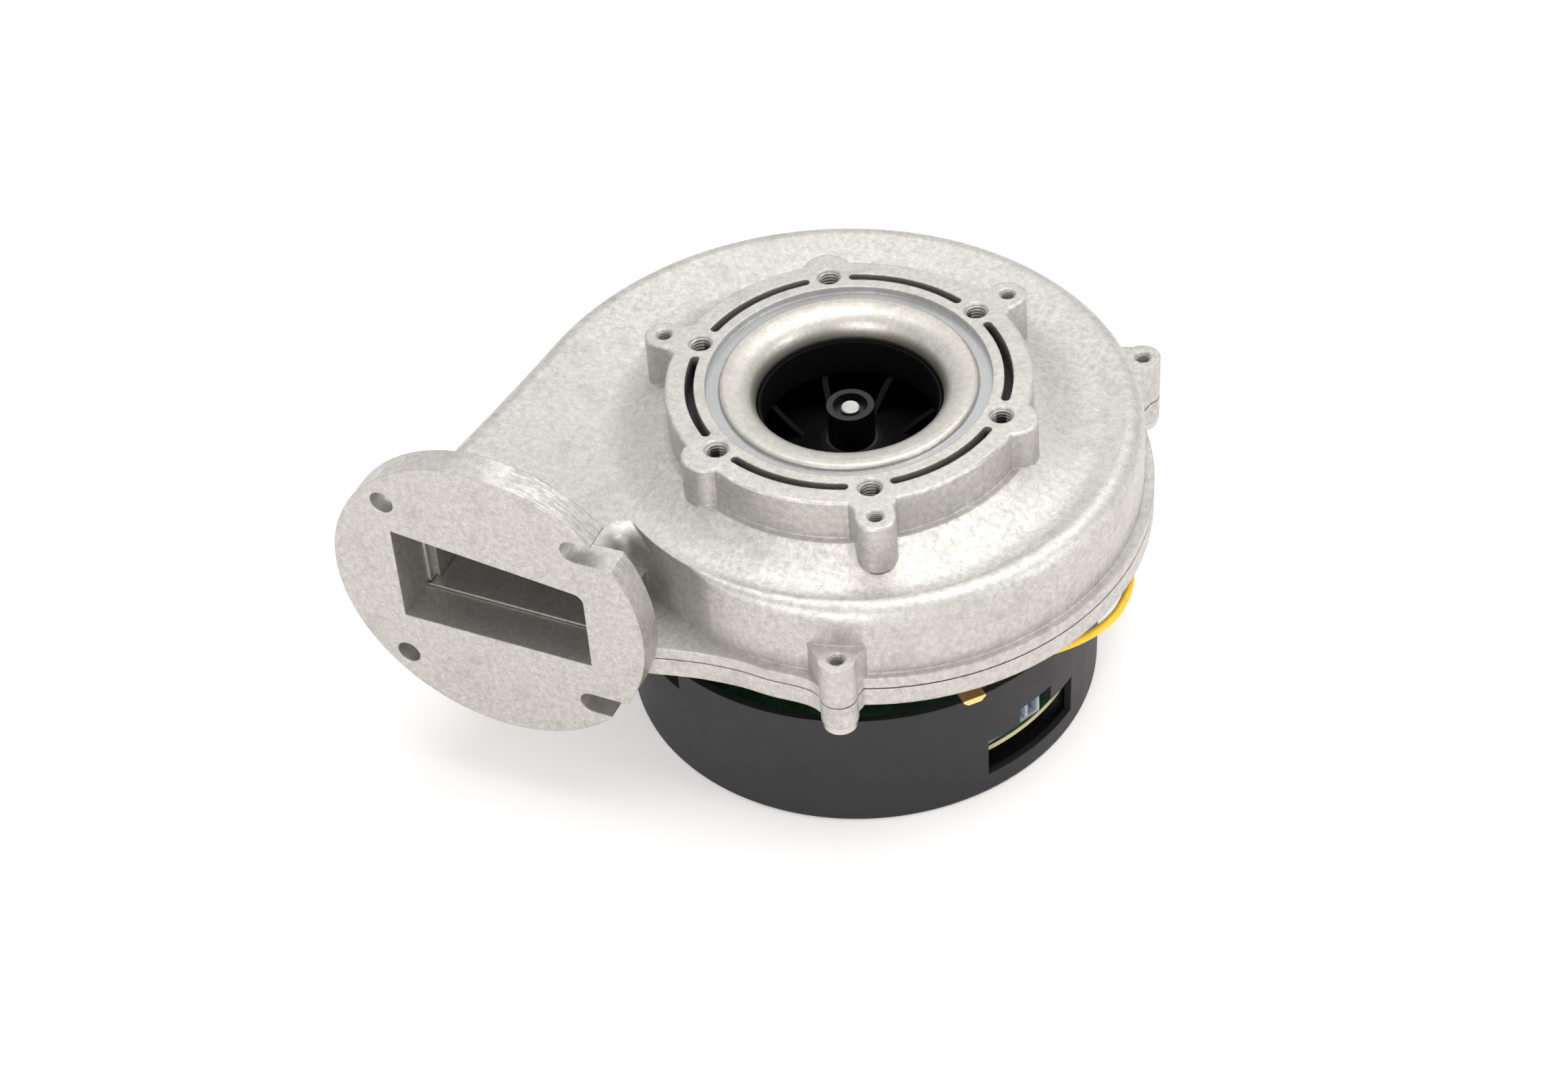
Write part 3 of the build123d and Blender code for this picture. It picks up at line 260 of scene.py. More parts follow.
def solderMaskedBoard():
    # glass-epoxy board under green solder mask, routed: cream fibre at its cut edge
    material, tree, place = newMaterial("solderMaskedBoard")
    normal = addNode(tree, "NewGeometry").outputs["Normal"]
    facing = addNode(tree, "SeparateXYZ", {"Vector": normal}).outputs["Z"]
    facing = addNode(tree, "Math", {0: facing}, operation="ABSOLUTE")
    flat = addNode(tree, "MapRange", {"Value": facing, "From Min": 0.4, "From Max": 0.6})
    tracks = grain(tree, place, 3.2, 0.49, 0.51, 1.0)
    weave = grain(tree, place, 0.5, 0.3, 0.7)
    layerMm = 0.79  # the glass cloth is finer, and drawn so coarse that its layers show
    layer = addNode(tree, "TexWave", {"Vector": place, "Scale": waveStep / (layerMm * mm),
                                      "Distortion": 1.5, "Detail": 2.0},
                    bands_direction="Z").outputs["Fac"]
    mask = layered(tree, "#17492C", (tracks, 1.0, "#1E5A37"))
    colour = layered(tree, "#CFC08C", (layer, 1.0, "#E2D6A8"), (weave, 0.3, "#B5A56F"),
                     (flat, 1.0, mask))
    shade(tree, {"Base Color": colour}, roughness=(flat, 0.75, 0.28), bump=(tracks, 0.03, 0.4))
    return material


def naturalNylon():
    # unfilled nylon, injection moulded: milky, lets light through with a cool tint
    material, tree, place = newMaterial("naturalNylon")
    cloud = grain(tree, place, 2.0, 0.3, 0.7)
    shade(tree, {"Base Color": layered(tree, "#B9CBDD", (cloud, 1.0, "#D6E2EC")), "Roughness": 0.28,
                 "IOR": 1.53, "Transmission Weight": 0.35, "Subsurface Weight": 0.5,
                 "Subsurface Scale": 0.002, "Subsurface Radius": (1.0, 1.1, 1.3)})
    return material


def tinnedCopper():
    # copper alloy, hot-tinned: soft bright silver
    material, tree, place = newMaterial("tinnedCopper")
    ripple = grain(tree, place, 0.8, 0.3, 0.7)
    shade(tree, {"Base Color": layered(tree, "#C9C9C6", (ripple, 1.0, "#DEDDD8")), "Metallic": 1.0},
          roughness=(ripple, 0.2, 0.36), bump=(ripple, 0.02, 0.4))
    return material


capacitor = {"x": -42.435, "y": -24.5, "rim": (7.0, 6.9), "lid": (33.0, 33.5), "vent": (0.2, 0.4)}


def shrunkSleeve():
    # PVC sleeve shrunk over an aluminium can: satin dark blue, with bare metal and the pressed cross
    # of its vent on the lid inside the rim
    material, tree, place = newMaterial("shrunkSleeve")
    along, reach = measuredFrom(tree, place, (capacitor["x"], capacitor["y"], 0))
    metal = where(tree, (reach, *capacitor["rim"]), (along["Z"], *capacitor["lid"]))
    arms = [addNode(tree, "Math", {0: along[axis]}, operation="ABSOLUTE") for axis in "XY"]
    cross = addNode(tree, "Math", {0: arms[0], 1: arms[1]}, operation="MINIMUM")
    vent = where(tree, (cross, *capacitor["vent"]))
    wrinkle = grain(tree, place, 3.0, 0.3, 0.7)
    colour = layered(tree, "#1C2230", (wrinkle, 1.0, "#232B3B"), (metal, 1.0, "#C3C5C8"))
    shade(tree, {"Base Color": colour, "Metallic": metal}, roughness=(metal, 0.38, 0.3),
          bump=(vent, 0.25, 0.6))
    return material


def sinteredFerrite():
    # sintered ferrite, tumbled: dull charcoal with a fine crystal glint
    material, tree, place = newMaterial("sinteredFerrite")
    crystal = grain(tree, place, 0.3, 0.5, 0.8)
    shade(tree, {"Base Color": layered(tree, "#2C2B2C", (crystal, 1.0, "#4A494B")), "Metallic": 0.3},
          roughness=(crystal, 0.62, 0.4), bump=(crystal, 0.02, 0.4))
    return material


def epoxyPackage():
    # moulding epoxy round a power chip: flat black with a slight sand grain
    material, tree, place = newMaterial("epoxyPackage")
    sand = grain(tree, place, 0.25, 0.3, 0.7)
    shade(tree, {"Base Color": layered(tree, "#1B1B1C", (sand, 1.0, "#28282A"))},
          roughness=(sand, 0.5, 0.65), bump=(sand, 0.02, 0.5))
    return material


brassRolling = {"turn": 42, "stretch": (0.12, 1.0, 1.0)}  # the rolling lines run with the blade


def stampedBrass():
    # brass sheet, stamped and bent: warm yellow with fine rolling lines and tarnish
    material, tree, place = newMaterial("stampedBrass")
    rolled = addNode(tree, "Mapping", {"Vector": place, "Scale": brassRolling["stretch"],
                                       "Rotation": (0, 0, math.radians(brassRolling["turn"]))})
    line = grain(tree, rolled, 0.25, 0.3, 0.7)
    stain = grain(tree, place, 4.0, 0.35, 0.7)
    shade(tree, {"Base Color": layered(tree, "#FFDD98", (stain, 1.0, "#F2C47C")), "Metallic": 1.0},
          roughness=(line, 0.26, 0.42), bump=(line, 0.01, 0.4))
    return material


def yellowInsulation():
    # PVC insulation, extruded: strong yellow with a soft gloss
    material, tree, place = newMaterial("yellowInsulation")
    draw = grain(tree, place, 1.6, 0.3, 0.7)
    shade(tree, {"Base Color": layered(tree, "#F9C424", (draw, 1.0, "#FDD63A")), "Coat Weight": 0.25,
                 "Coat Roughness": 0.2, "Subsurface Weight": 0.15, "Subsurface Scale": 0.0006,
                 "Subsurface Radius": (1.0, 0.7, 0.1)}, roughness=(draw, 0.34, 0.46))
    return material


def groundBearingSteel():
    # chrome steel, hardened and ground: bright with rings of fine grinding lines
    material, tree, place = newMaterial("groundBearingSteel")
    lineMm = 0.592
    line = addNode(tree, "TexWave", {"Vector": place, "Scale": waveStep / (lineMm * mm),
                                     "Distortion": 0.6, "Detail": 1.0},
                   wave_type="RINGS", rings_direction="Z").outputs["Fac"]
    shade(tree, {"Base Color": layered(tree, "#BFC1C4", (line, 1.0, "#D3D4D6")), "Metallic": 1.0},
          roughness=(line, 0.14, 0.24))
    return material


def laminatedSteel():
    # punched electrical steel, stacked and varnished: dark grey with a line between its sheets
    material, tree, place = newMaterial("laminatedSteel")
    sheetMm = 3.14  # the sheets are 0.5 mm thick, and drawn coarser so that they show
    sheet = addNode(tree, "TexWave", {"Vector": place, "Scale": waveStep / (sheetMm * mm),
                                      "Distortion": 0.0}, bands_direction="Z").outputs["Fac"]
    shade(tree, {"Base Color": layered(tree, "#4C4E52", (sheet, 1.0, "#7C7F84")), "Metallic": 0.8,
                 "Coat Weight": 0.2, "Coat Roughness": 0.3},
          roughness=(sheet, 0.55, 0.4), bump=(sheet, 0.05, 0.5))
    return material


def glassFilledNylon():
    # glass-filled nylon insulation: off-white with darker fibre streaks
    material, tree, place = newMaterial("glassFilledNylon")
    streak = grain(tree, place, 0.8, 0.35, 0.7, 4.0)
    shade(tree, {"Base Color": layered(tree, "#D9D3C2", (streak, 1.0, "#C2BBA7")),
                 "Subsurface Weight": 0.2, "Subsurface Scale": 0.001}, roughness=(streak, 0.45, 0.6))
    return material


def enamelledCopper():
    # enamelled copper wire, wound side by side: red-brown gloss with a ridge for each turn
    material, tree, place = newMaterial("enamelledCopper")
    turnMm = 3.77  # the wire is about 0.6 mm thick, and drawn coarser so that its turns show
    turn = addNode(tree, "TexWave", {"Vector": place, "Scale": waveStep / (turnMm * mm),
                                     "Distortion": 0.3}, bands_direction="Z").outputs["Fac"]
    shade(tree, {"Base Color": layered(tree, "#6B2E18", (turn, 1.0, "#B5603A")), "Metallic": 0.9,
                 "Coat Weight": 0.6, "Coat Roughness": 0.12},
          roughness=(turn, 0.4, 0.25), bump=(turn, 0.2, 0.8))
    return material


def groundSteel():
    # ground steel shaft: bright with fine lines round it
    material, tree, place = newMaterial("groundSteel")
    lineMm = 1.571  # grinding lines are finer, and drawn coarser so that they show
    line = addNode(tree, "TexWave", {"Vector": place, "Scale": waveStep / (lineMm * mm),
                                     "Distortion": 2.0, "Detail": 2.0},
                   bands_direction="Z").outputs["Fac"]
    shade(tree, {"Base Color": layered(tree, "#A3A3A1", (line, 1.0, "#BDBCB8")), "Metallic": 1.0},
          roughness=(line, 0.34, 0.46))
    return material


wheelHub = (6.4, 7.2)  # from the radius of the glossy hub to where the matte blades start, in mm


def glossyBlackPolyamide():
    # carbon-loaded polyamide: deep black, glossy on the hub, sand-blasted matte on the blades
    material, tree, place = newMaterial("glossyBlackPolyamide")
    flow = grain(tree, place, 6.0, 0.35, 0.65)
    reach = measuredFrom(tree, place)[1]
    blades = where(tree, (reach, *wheelHub))
    gloss = addNode(tree, "MapRange", {"Value": blades, "To Min": 0.4, "To Max": 0.1})
    colour = layered(tree, "#070708", (flow, 1.0, "#0D0D0F"))
    shade(tree, {"Base Color": colour, "Specular IOR Level": gloss}, roughness=(blades, 0.34, 0.6))
    return material


def drawnZincSteel():
    # deep-drawn steel bell, zinc plated: pale grey with drawing lines up its side
    material, tree, place = newMaterial("drawnZincSteel")
    pulled = addNode(tree, "Mapping", {"Vector": place, "Scale": (1.0, 1.0, 0.06)})
    line = grain(tree, pulled, 0.5, 0.3, 0.7)
    spangle = addNode(tree, "TexVoronoi", {"Vector": place, "Scale": 1 / (5.0 * mm)}).outputs["Distance"]
    shade(tree, {"Base Color": layered(tree, "#A9ADB2", (spangle, 1.0, "#C2C4C4")), "Metallic": 1.0},
          roughness=(line, 0.3, 0.46), bump=(line, 0.01, 0.4))
    return material


def temperedSpringSteel():
    # spring steel, tempered: dark straw-blue oxide with a soft sheen
    material, tree, place = newMaterial("temperedSpringSteel")
    oxide = grain(tree, place, 2.0, 0.3, 0.7)
    shade(tree, {"Base Color": layered(tree, "#4C4F57", (oxide, 1.0, "#6E6A66")), "Metallic": 1.0},
          roughness=(oxide, 0.3, 0.42))
    return material


finishOfSlot = {
    "casting": dieCastAluminium(),
    "gasket": pressedGasket(),
    "zinc_steel": zincPlatedSteel(),
    "cover_plastic": blackMouldedPolyamide(),
    "board": solderMaskedBoard(),
    "nylon": naturalNylon(),
    "tin_pins": tinnedCopper(),
    "capacitor_sleeve": shrunkSleeve(),
    "ferrite": sinteredFerrite(),
    "black_moulding": epoxyPackage(),
    "brass_sheet": stampedBrass(),
    "lead_insulation": yellowInsulation(),
    "bearing_steel": groundBearingSteel(),
    "laminations": laminatedSteel(),
    "insulator_moulding": glassFilledNylon(),
    "enamelled_wire": enamelledCopper(),
    "shaft_steel": groundSteel(),
    "impeller_moulding": glossyBlackPolyamide(),
    "bell_steel": drawnZincSteel(),
    "spring_steel": temperedSpringSteel(),
}
for row in frame["record"]["subparts"]:
    for slot in nodes[row["node"]].material_slots:
        slot.material = finishOfSlot[row["material_slot"]]
print("materials made and given to the CAD nodes")

# Surfaces worked out on grids


def addPiece(name, data, slotName, body):
    piece = bpy.data.objects.new(name, data)
    bpy.context.scene.collection.objects.link(piece)
    piece.data.materials.append(finishOfSlot[slotName])
    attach(piece, body)
    return piece


def gridPiece(name, points, slotName, body, closedAlong=False, closedAround=True):
    # points[i, j] in mm: step i along the shape and j around it; each four neighbours make a face
    rows, columns = points.shape[:2]
    ids = np.arange(rows * columns).reshape(rows, columns)
    if closedAlong:
        ids = np.vstack((ids, ids[:1]))
    if closedAround:
        ids = np.hstack((ids, ids[:, :1]))
    quads = np.stack((ids[:-1, :-1], ids[1:, :-1], ids[1:, 1:], ids[:-1, 1:]), -1).reshape(-1, 4)
    mesh = bpy.data.meshes.new(name)
    mesh.from_pydata((points.reshape(-1, 3) * mm).tolist(), [], quads.tolist())
    mesh.shade_smooth()
    return addPiece(name, mesh, slotName, body)


def capped(rows):
    # the rows with a row at their own middle point before the first and after the last, which
    # closes both ends
    count = rows.shape[1]
    first, last = (np.repeat(rows[side].mean(0)[None, None], count, 1) for side in (0, -1))
    return np.concatenate((first, rows, last))


def polar(radius, degrees):
    return radius * math.cos(math.radians(degrees)), radius * math.sin(math.radians(degrees))


# Threads in the tapped holes of the collar and the ears; a ridge's height is a share of the pitch
threads = {
    "inlet": {"radius": 3.0, "pitch": 1.0, "depth": 9.0, "count": 6, "circle": 42.5, "first": 0.0},
    "meter": {"radius": 2.0, "pitch": 0.7, "depth": 7.0, "count": 3, "circle": 53.2, "first": 60.0},
}
threadForm = {"ridge": 0.54, "mouthChamfer": 0.4, "rootGap": 0.02, "wallGap": 0.004, "stepsPerTurn": 9}


def threadLiner(name, x, y, top, hole, columns=40):
    # a tube in the hole whose inner wall is r = R - ridge * (1 - |2 frac(z / pitch - angle) - 1|),
    # a triangle wave that climbs one pitch for each turn; its outer wall lies on the hole's wall
    rows = int(hole["depth"] / hole["pitch"] * threadForm["stepsPerTurn"])
    z = np.linspace(0, hole["depth"], rows)[:, None]
    turn = np.arange(columns)[None, :] / columns
    wave = 1 - np.abs(2 * np.mod(z / hole["pitch"] - turn, 1.0) - 1)
    fade = np.clip(z / hole["pitch"], 0, 1)
    inner = hole["radius"] - threadForm["rootGap"] - threadForm["ridge"] * hole["pitch"] * wave * fade
    outer = np.full_like(inner, hole["radius"] - threadForm["wallGap"])
    radius = np.vstack((outer[::-1], inner))
    depth = np.vstack((z[::-1], z)) + 0 * radius
    angle = 2 * np.pi * turn + 0 * radius
    points = np.stack((x + radius * np.cos(angle), y + radius * np.sin(angle),
                       top - threadForm["mouthChamfer"] - depth), -1)
    gridPiece(name, points[:, ::-1], "casting", "housing", closedAlong=True)


for kind, hole in threads.items():
    for i in range(hole["count"]):
        x, y = polar(hole["circle"], hole["first"] + i * 360 / hole["count"])
        threadLiner(f"{kind}_thread_{i + 1}", x, y, collar["top"], hole)

ears = {
    "top": 71.4,
    "places": [(24.6, -69.9), (58.2, 65.5), (-42.5, 79.9), (-86.4, 31.5), (-99.8, -57.0),
               (-39.0, -61.5)],
    "hole": {"radius": 2.0, "pitch": 0.7, "depth": 4.9},
    "columns": 32,
}
for i, (x, y) in enumerate(ears["places"]):
    threadLiner(f"ear_thread_{i + 1}", x, y, ears["top"], ears["hole"], ears["columns"])
print("threads made")

# The shoulder between roof and wall near the tongue, rounded outwards over the foot of the cone.
# Its ends sink under the casting's skin, before riseTo and from fadeFrom to fadeTo, in degrees.
shoulder = {
    "angles": [-107, -105, -100, -90, -80, -70, -60],
    "wall": [65.9, 66.24, 67.2, 68.1, 68.87, 69.74, 70.57],  # the casting's wall at those angles
    "crest": 66.0, "level": 83.65, "largest": 4.5,
    "riseTo": -103, "fadeFrom": -70, "fadeTo": -61, "sink": 0.22, "skin": 0.05, "skinSink": 3,
    "hollow": [(63.0, -0.14), (64.0, -0.15), (65.0, -0.09)],  # radius, and height over the level
    "foot": 77.6, "lap": 1.0, "under": [(-0.1, 0.0), (-0.6, 2.9)], "core": (63.2, -1.0),
    "steps": 60, "arcSteps": 13, "sharp": 30,
}


def shoulderBlend():
    # at each angle an arc from the roof's level to the wall; its radius r keeps the crest just
    # inside, so r - (wall - crest) = sqrt(2 * skin * r), and it never exceeds the casting's fillet
    riseTo, fadeFrom, fadeTo = shoulder["riseTo"], shoulder["fadeFrom"], shoulder["fadeTo"]
    angles = np.linspace(shoulder["angles"][0], fadeTo, shoulder["steps"])
    wall = np.interp(angles, shoulder["angles"], shoulder["wall"])
    fade = np.clip((angles - fadeFrom) / (fadeTo - fadeFrom), 0, 1)
    fade += np.clip((riseTo - angles) / (riseTo - angles[0]), 0, 1)
    outer = wall + shoulder["skin"] * (1 - shoulder["skinSink"] * fade)
    level = shoulder["level"] - shoulder["sink"] * fade
    reach = np.maximum(outer - shoulder["crest"], 0.0)
    root = math.sqrt(shoulder["skin"] / 2) + np.sqrt(shoulder["skin"] / 2 + reach)
    radius = np.minimum(root ** 2, shoulder["largest"])
    turn = np.linspace(np.pi / 2, 0, shoulder["arcSteps"])
    foot, (core, coreDrop) = shoulder["foot"], shoulder["core"]
    rows = []
    for i, angle in enumerate(np.radians(angles)):
        arcOut = outer[i] - radius[i] + radius[i] * np.cos(turn)
        arcUp = level[i] - radius[i] + radius[i] * np.sin(turn)
        profile = [(out, level[i] + rise) for out, rise in shoulder["hollow"]]
        profile += [*zip(arcOut, arcUp), (outer[i], foot + shoulder["lap"])]
        profile += [(wall[i] + out, foot + rise) for out, rise in shoulder["under"]]
        reachOut, height = np.array([*profile, (core, level[i] + coreDrop)]).T
        rows.append(np.stack((reachOut * math.cos(angle), reachOut * math.sin(angle), height), -1))
    piece = gridPiece("shoulder_blend", capped(np.array(rows)), "casting", "housing")
    piece.data.set_sharp_from_angle(angle=math.radians(shoulder["sharp"]))


shoulderBlend()

# Wider webs on the five large ears, each facing outwards at its own angle in degrees
web = {"facing": [-70.6, 48.4, 118.0, 160.0, 180.0], "nose": 4.93, "depth": 8.2, "halfWidth": 9.4,
       "hole": 2.45, "bottom": 58.4, "top": 71.42, "noseSteps": 25}


def earWeb(name, x, y, facing):
    # round nose and tapered web about the screw hole: the same angles on the hole and the outline
    bend = np.radians(np.linspace(-90, 90, web["noseSteps"]))
    nose = web["nose"] * np.stack((np.cos(bend), np.sin(bend)), -1)
    corners = np.array([(-web["depth"], side * web["halfWidth"]) for side in (-1, 1, 0)])
    outline = np.vstack((corners[:1], nose, corners[1:]))
    rim = outline * (web["hole"] / np.linalg.norm(outline, axis=1, keepdims=True))
    turn = math.radians(facing)
    spin = np.array([[math.cos(turn), math.sin(turn)], [-math.sin(turn), math.cos(turn)]])
    rows = []
    for flat, height in ((rim, "bottom"), (rim, "top"), (outline, "top"), (outline, "bottom")):
        level = np.full((len(flat), 1), web[height])
        rows.append(np.hstack((flat @ spin + (x, y), level)))
    piece = gridPiece(name, np.array(rows)[:, ::-1], "casting", "housing", closedAlong=True)
    piece.data.shade_flat()


for i, facing in enumerate(web["facing"]):
    earWeb(f"ear_web_{i + 1}", *ears["places"][i], facing)

# The seam's smooth edge beside the outlet flange: the line it follows, the radius to which its
# strips reach back into the wall, and the bottom and top of each strip
seamEdge = {
    "line": [(-34.0, -75.9), (-26.2, -74.4), (-18.5, -72.7), (-11.8, -71.5), (-2.5, -70.8),
             (6.0, -71.1), (13.5, -70.7), (17.6, -71.0), (20.2, -72.0)],
    "back": 64.6,
    "layers": {"seam_edge_lower": (52.38, 57.99), "seam_edge_upper": (58.41, 61.82)},
}


def smoothLine(points, steps=10):
    # a curve through the points, by cubic pieces whose slopes come from the neighbours
    points = np.array(points)
    slopes = np.gradient(points, axis=0)
    t = np.linspace(0, 1, steps, endpoint=False)[:, None]
    pieces = []
    for i in range(len(points) - 1):
        start, end, rise, fall = points[i], points[i + 1], slopes[i], slopes[i + 1]
        pieces.append((2 * t ** 3 - 3 * t ** 2 + 1) * start + (t ** 3 - 2 * t ** 2 + t) * rise
                      + (3 * t ** 2 - 2 * t ** 3) * end + (t ** 3 - t ** 2) * fall)
    return np.vstack((*pieces, points[-1:]))


def seamStrip(name, bottom, top):
    # a strip from the smooth edge back into the wall, closed as a four-sided section along it
    edge = smoothLine(seamEdge["line"])
    inner = edge * (seamEdge["back"] / np.linalg.norm(edge, axis=1, keepdims=True))
    low, high = np.full((len(edge), 1), bottom), np.full((len(edge), 1), top)
    corners = [np.hstack(pair) for pair in ((edge, low), (edge, high), (inner, high), (inner, low))]
    piece = gridPiece(name, capped(np.stack(corners, 1))[:, ::-1], "casting", "housing")
    piece.data.shade_flat()


for name, (bottom, top) in seamEdge["layers"].items():
    seamStrip(name, bottom, top)
print("shoulder, webs and seam edge made")

# The earth lead, whose route stays within 2.3 mm of the CAD tube
lead = {
    "radius": 1.2,
    "length": 101.5,
    "stepsPerSpan": 24,
    "roundness": 8,
    "points": [
        (48.495, -33.075, 42.6), (59.0, -31.2, 45.5), (76.6, -13.5, 46.6), (77.7, 4.1, 48.8),
        (70.7, 13.1, 46.4), (60.5, 18.6, 44.3), (52.4, 14.8, 35.0), (52.4, 14.8, 19.2),
    ],
}


def earthLead():
    # one smooth line with the route's points as its control points, and the wire's round section
    curve = bpy.data.curves.new("earth_wire", "CURVE")
    curve.dimensions = "3D"
    line = curve.splines.new("NURBS")
    line.points.add(len(lead["points"]) - 1)
    for point, place in zip(line.points, lead["points"]):
        point.co = (*(value * mm for value in place), 1)
    line.order_u = 3
    line.use_endpoint_u = True
    line.resolution_u = lead["stepsPerSpan"]
    curve.bevel_depth = lead["radius"] * mm
    curve.bevel_resolution = lead["roundness"]
    curve.use_fill_caps = True
    wire = addPiece("earth_wire", curve, "lead_insulation", "housing")
    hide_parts("earth_lead")


earthLead()
print("lead made")

# The ring round the impeller's eye, which runs up inside the throat with a small running gap: its
# section as radius and height
eyeRing = [(23.5, 92.5), (23.5, 82.2), (25.25, 82.2), (25.25, 83.4), (24.2, 83.4), (24.2, 92.5)]


def turnedPiece(name, section, slotName, body, columns=160):
    # a closed section of (radius, height) points turned about the shaft's axis
    angle = 2 * np.pi * np.arange(columns) / columns
    radius, height = np.array(section).T
    points = np.stack((radius[:, None] * np.cos(angle), radius[:, None] * np.sin(angle),
                       height[:, None] + 0 * angle), -1)
    piece = gridPiece(name, points, slotName, body, closedAlong=True)
    piece.data.shade_flat()


turnedPiece("impeller_eye_ring", eyeRing, "impeller_moulding", "rotor")
print("eye ring made")

# Winding on the ring choke, over all but 30 degrees of it
choke = {"x": -45.4, "y": 12.16, "base": 14.0, "height": 8.0, "outer": 7.0, "bore": 3.2,
         "turns": 17, "wire": 0.55, "squareness": 4.0, "stepsPerTurn": 28, "clear": 0.05,
         "start": 15, "sweep": 330}


def tubePiece(name, path, outward, radius, slotName, sides=8):
    # a round section carried along the path, turned by the path's tangent and an outward direction
    tangent = np.gradient(path, axis=0)
    tangent /= np.linalg.norm(tangent, axis=1, keepdims=True)
    side = outward - tangent * np.sum(outward * tangent, axis=1, keepdims=True)
    side /= np.linalg.norm(side, axis=1, keepdims=True)
    third = np.cross(tangent, side)
    angle = (2 * np.pi * np.arange(sides) / sides)[None, :, None]
    section = side[:, None] * np.cos(angle) + third[:, None] * np.sin(angle)
    points = capped(path[:, None] + radius * section)
    gridPiece(name, points[:, ::-1], slotName, "housing")


def chokeWinding():
    # the wire runs round the ring's section as a superellipse while it creeps along the ring, so
    # point = ring centre line + (half width, half height) * signed powers of cos and sin
    t = np.linspace(0, 1, choke["turns"] * choke["stepsPerTurn"])
    around = 2 * np.pi * choke["turns"] * t
    along = np.radians(choke["start"] + choke["sweep"] * t)
    power = 2 / choke["squareness"]
    lift = choke["wire"] + choke["clear"]
    halfWidth = (choke["outer"] - choke["bore"]) / 2 + lift
    halfHeight = choke["height"] / 2 + lift
    across = np.sign(np.cos(around)) * np.abs(np.cos(around)) ** power
    up = np.sign(np.sin(around)) * np.abs(np.sin(around)) ** power
    reach = (choke["outer"] + choke["bore"]) / 2 + halfWidth * across
    height = choke["base"] + choke["height"] / 2 + halfHeight * up
    path = np.stack((choke["x"] + reach * np.cos(along), choke["y"] + reach * np.sin(along), height), -1)
    outward = np.stack((across * np.cos(along), across * np.sin(along), up), -1)
    tubePiece("choke_winding", path, outward, choke["wire"], "enamelled_wire")


chokeWinding()

# Solder round the tails of the header's pins, under the board; it reaches a little past each tail
header = {"angle": -27.0, "ways": 5, "pitch": 4.16, "leg": 50.4, "boardBottom": 12.4, "tail": 1.6,
          "base": 1.1, "tip": 0.62, "past": 1.05, "rings": 9, "columns": 20}


def solderJoint(name, x, y):
    # a cone with hollow flanks: radius falls with the square of the way down, closed at both ends
    way = np.linspace(0, 1, header["rings"])
    radius = header["tip"] + (header["base"] - header["tip"]) * (1 - way) ** 2
    radius = np.concatenate(([0], radius, [0]))[:, None]
    depth = np.concatenate(([0], way, [1]))[:, None] * header["tail"] * header["past"]
    angle = 2 * np.pi * np.arange(header["columns"])[None, :] / header["columns"]
    points = np.stack((x + radius * np.cos(angle), y + radius * np.sin(angle),
                       header["boardBottom"] - depth + 0 * angle), -1)
    gridPiece(name, points, "tin_pins", "housing")


for i in range(header["ways"]):
    offset = (i - (header["ways"] - 1) / 2) * header["pitch"]
    legX, legY = polar(header["leg"], header["angle"])
    alongX, alongY = polar(offset, header["angle"] + 90)
    solderJoint(f"pin_solder_{i + 1}", legX + alongX, legY + alongY)
print("winding and solder made")

# Camera, at the photograph's own viewing angle, in mm and degrees; the slides, the focal length
# and the frame's width are in its pixels
shot = {"azimuth": 26.719, "elevation": 43.168, "roll": -4.619, "distance": 923.485,
        "aimHeight": 60.0, "slideX": 105.84, "slideY": -60.574, "focalPixels": 5101.128,
        "frameWidth": 2324, "sensor": 36.0, "clipStart": 10.0}


def addCamera():
    a, e, r = (math.radians(shot[key]) for key in ("azimuth", "elevation", "roll"))
    back = Vector((math.sin(a) * math.cos(e), -math.cos(a) * math.cos(e), math.sin(e)))
    right = Vector((math.cos(a), math.sin(a), 0))
    up = back.cross(right)
    across = right * math.cos(r) + up * math.sin(r)
    upward = up * math.cos(r) - right * math.sin(r)
    perPixel = shot["distance"] / shot["focalPixels"]
    place = Vector((0, 0, shot["aimHeight"])) + back * shot["distance"]
    place += (upward * shot["slideY"] - across * shot["slideX"]) * perPixel
    data = bpy.data.cameras.new("camera")
    data.sensor_width = shot["sensor"]
    data.lens = shot["focalPixels"] * shot["sensor"] / shot["frameWidth"]
    data.clip_start = shot["clipStart"] * mm
    camera = bpy.data.objects.new("camera", data)
    turn = Matrix((across, upward, back)).transposed().to_4x4()
    camera.matrix_world = Matrix.Translation(place * mm) @ turn
    bpy.context.scene.collection.objects.link(camera)
    bpy.context.scene.camera = camera


addCamera()

# Studio, in metres: soft lamps, a white room, and a white floor whose glow grows from near to far,
# so that no horizon shows
lamps = [
    {"name": "key", "from": (0.12, 0.2, 1.15), "size": 1.2, "power": 9.2, "colour": "#FFFDFA"},
    {"name": "front", "from": (0.12, -1.2, 0.45), "size": 0.7, "power": 6.0, "colour": "#FFFCF8"},
    {"name": "side", "from": (1.1, 0.0, 0.5), "size": 0.5, "power": 2.5, "colour": "#FFFFFF"},
]
lampAim = (0, 0, 0.05)
room = {"light": 0.4, "seen": 1.0}
floorLook = {"half": 6.0, "colour": "#FFFBFA", "lift": 0.32, "near": 0.3, "far": 0.9}


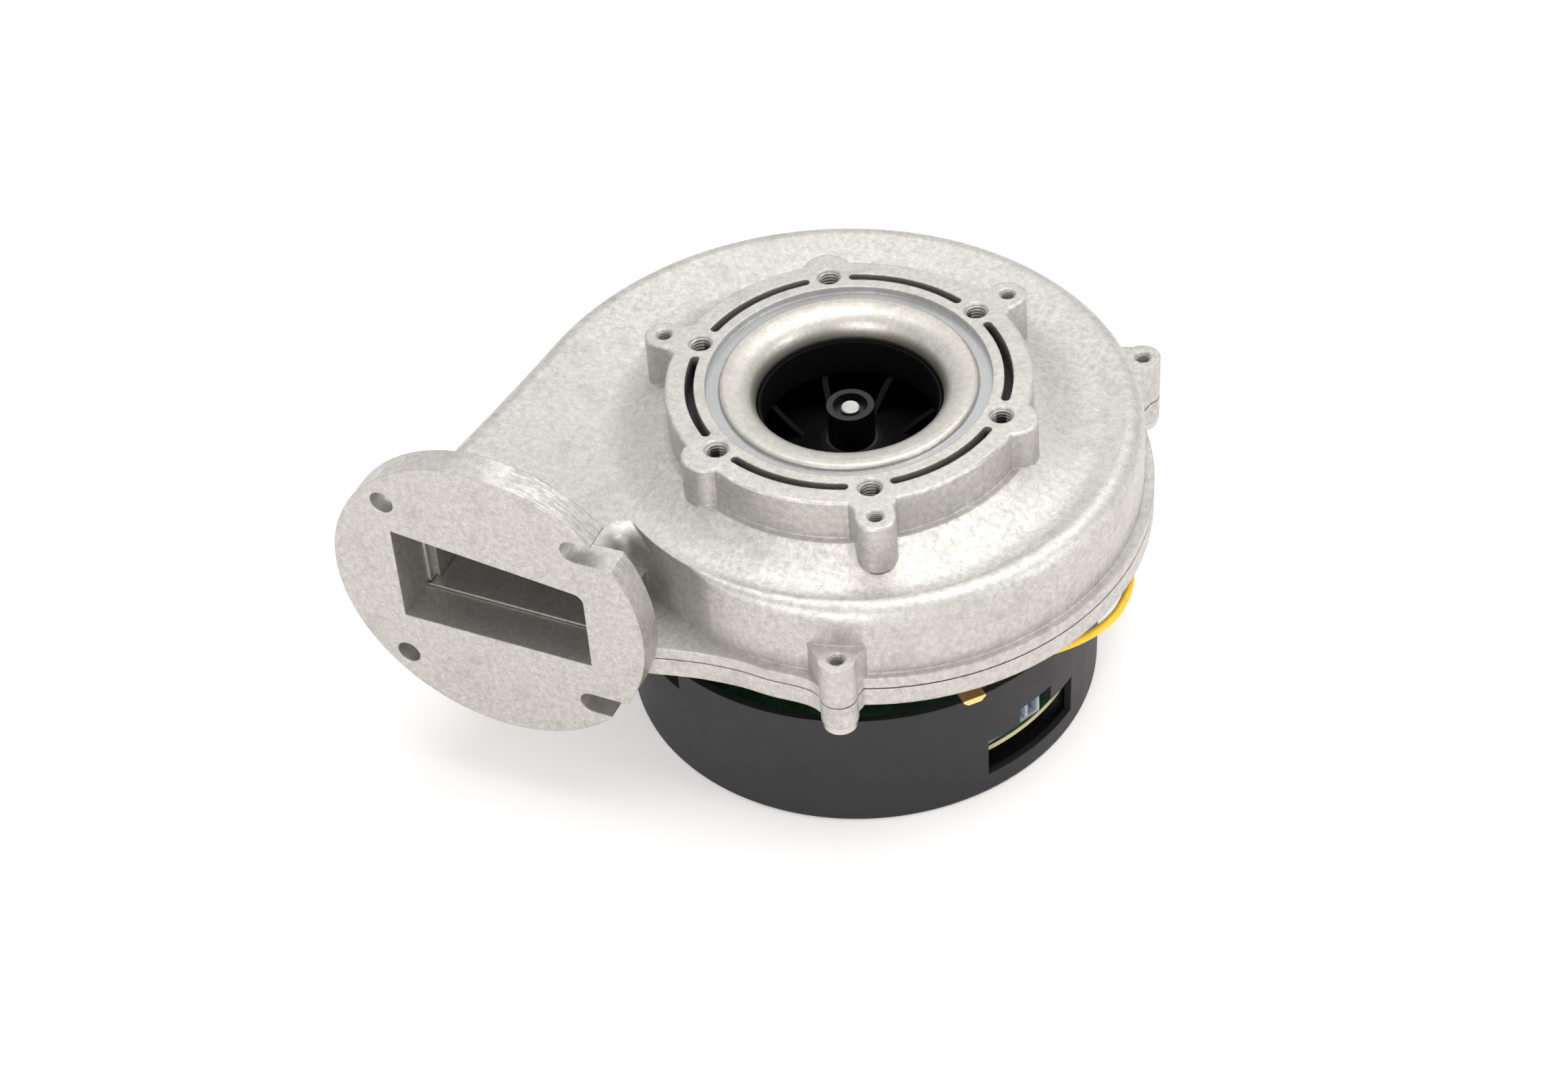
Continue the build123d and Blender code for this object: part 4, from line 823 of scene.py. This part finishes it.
def addLamps():
    for lamp in lamps:
        data = bpy.data.lights.new(lamp["name"], "AREA")
        data.shape = "DISK"
        data.size = lamp["size"]
        data.energy = lamp["power"]
        data.color = linear(lamp["colour"])[:3]
        light = bpy.data.objects.new(lamp["name"], data)
        light.location = lamp["from"]
        toLamp = Vector(lamp["from"]) - Vector(lampAim)
        light.rotation_euler = toLamp.to_track_quat("Z", "Y").to_euler()
        bpy.context.scene.collection.objects.link(light)


def seenRays(tree):
    # 1 for rays that show a background: from the camera, off gloss and through glass
    path = addNode(tree, "LightPath").outputs
    direct, gloss, through = (path[f"Is {kind} Ray"] for kind in ("Camera", "Glossy", "Transmission"))
    seen = addNode(tree, "Math", {0: direct, 1: gloss}, operation="MAXIMUM")
    return addNode(tree, "Math", {0: seen, 1: through}, operation="MAXIMUM")


def addRoom():
    world = bpy.data.worlds.new("room")
    bpy.context.scene.world = world
    world.use_nodes = True
    tree = world.node_tree
    tree.nodes.clear()
    strength = addNode(tree, "MapRange", {"Value": seenRays(tree), "To Min": room["light"],
                                          "To Max": room["seen"]})
    sky = addNode(tree, "Background", {"Color": "#FFFFFF", "Strength": strength})
    addNode(tree, "OutputWorld", {"Surface": sky})


def addFloor():
    half = floorLook["half"]
    mesh = bpy.data.meshes.new("floor")
    mesh.from_pydata([(-half, -half, 0), (half, -half, 0), (half, half, 0), (-half, half, 0)], [],
                     [(0, 1, 2, 3)])
    floor = bpy.data.objects.new("floor", mesh)
    bpy.context.scene.collection.objects.link(floor)
    material, tree, place = newMaterial("whiteFloor")
    reach = measuredFrom(tree, place)[1]
    away = addNode(tree, "MapRange", {"Value": reach, "From Min": floorLook["near"],
                                      "From Max": floorLook["far"], "To Min": floorLook["lift"]})
    lift = addNode(tree, "Math", {0: seenRays(tree), 1: away}, operation="MULTIPLY")
    matte = addNode(tree, "BsdfDiffuse", {"Color": floorLook["colour"]})
    glow = addNode(tree, "Emission", {"Color": "#FFFFFF", "Strength": lift})
    both = addNode(tree, "AddShader", {0: matte, 1: glow})
    addNode(tree, "OutputMaterial", {"Surface": both})
    mesh.materials.append(material)


addLamps()
addRoom()
addFloor()
bpy.context.scene.view_settings.view_transform = "Standard"
print("camera, lamps and floor made")
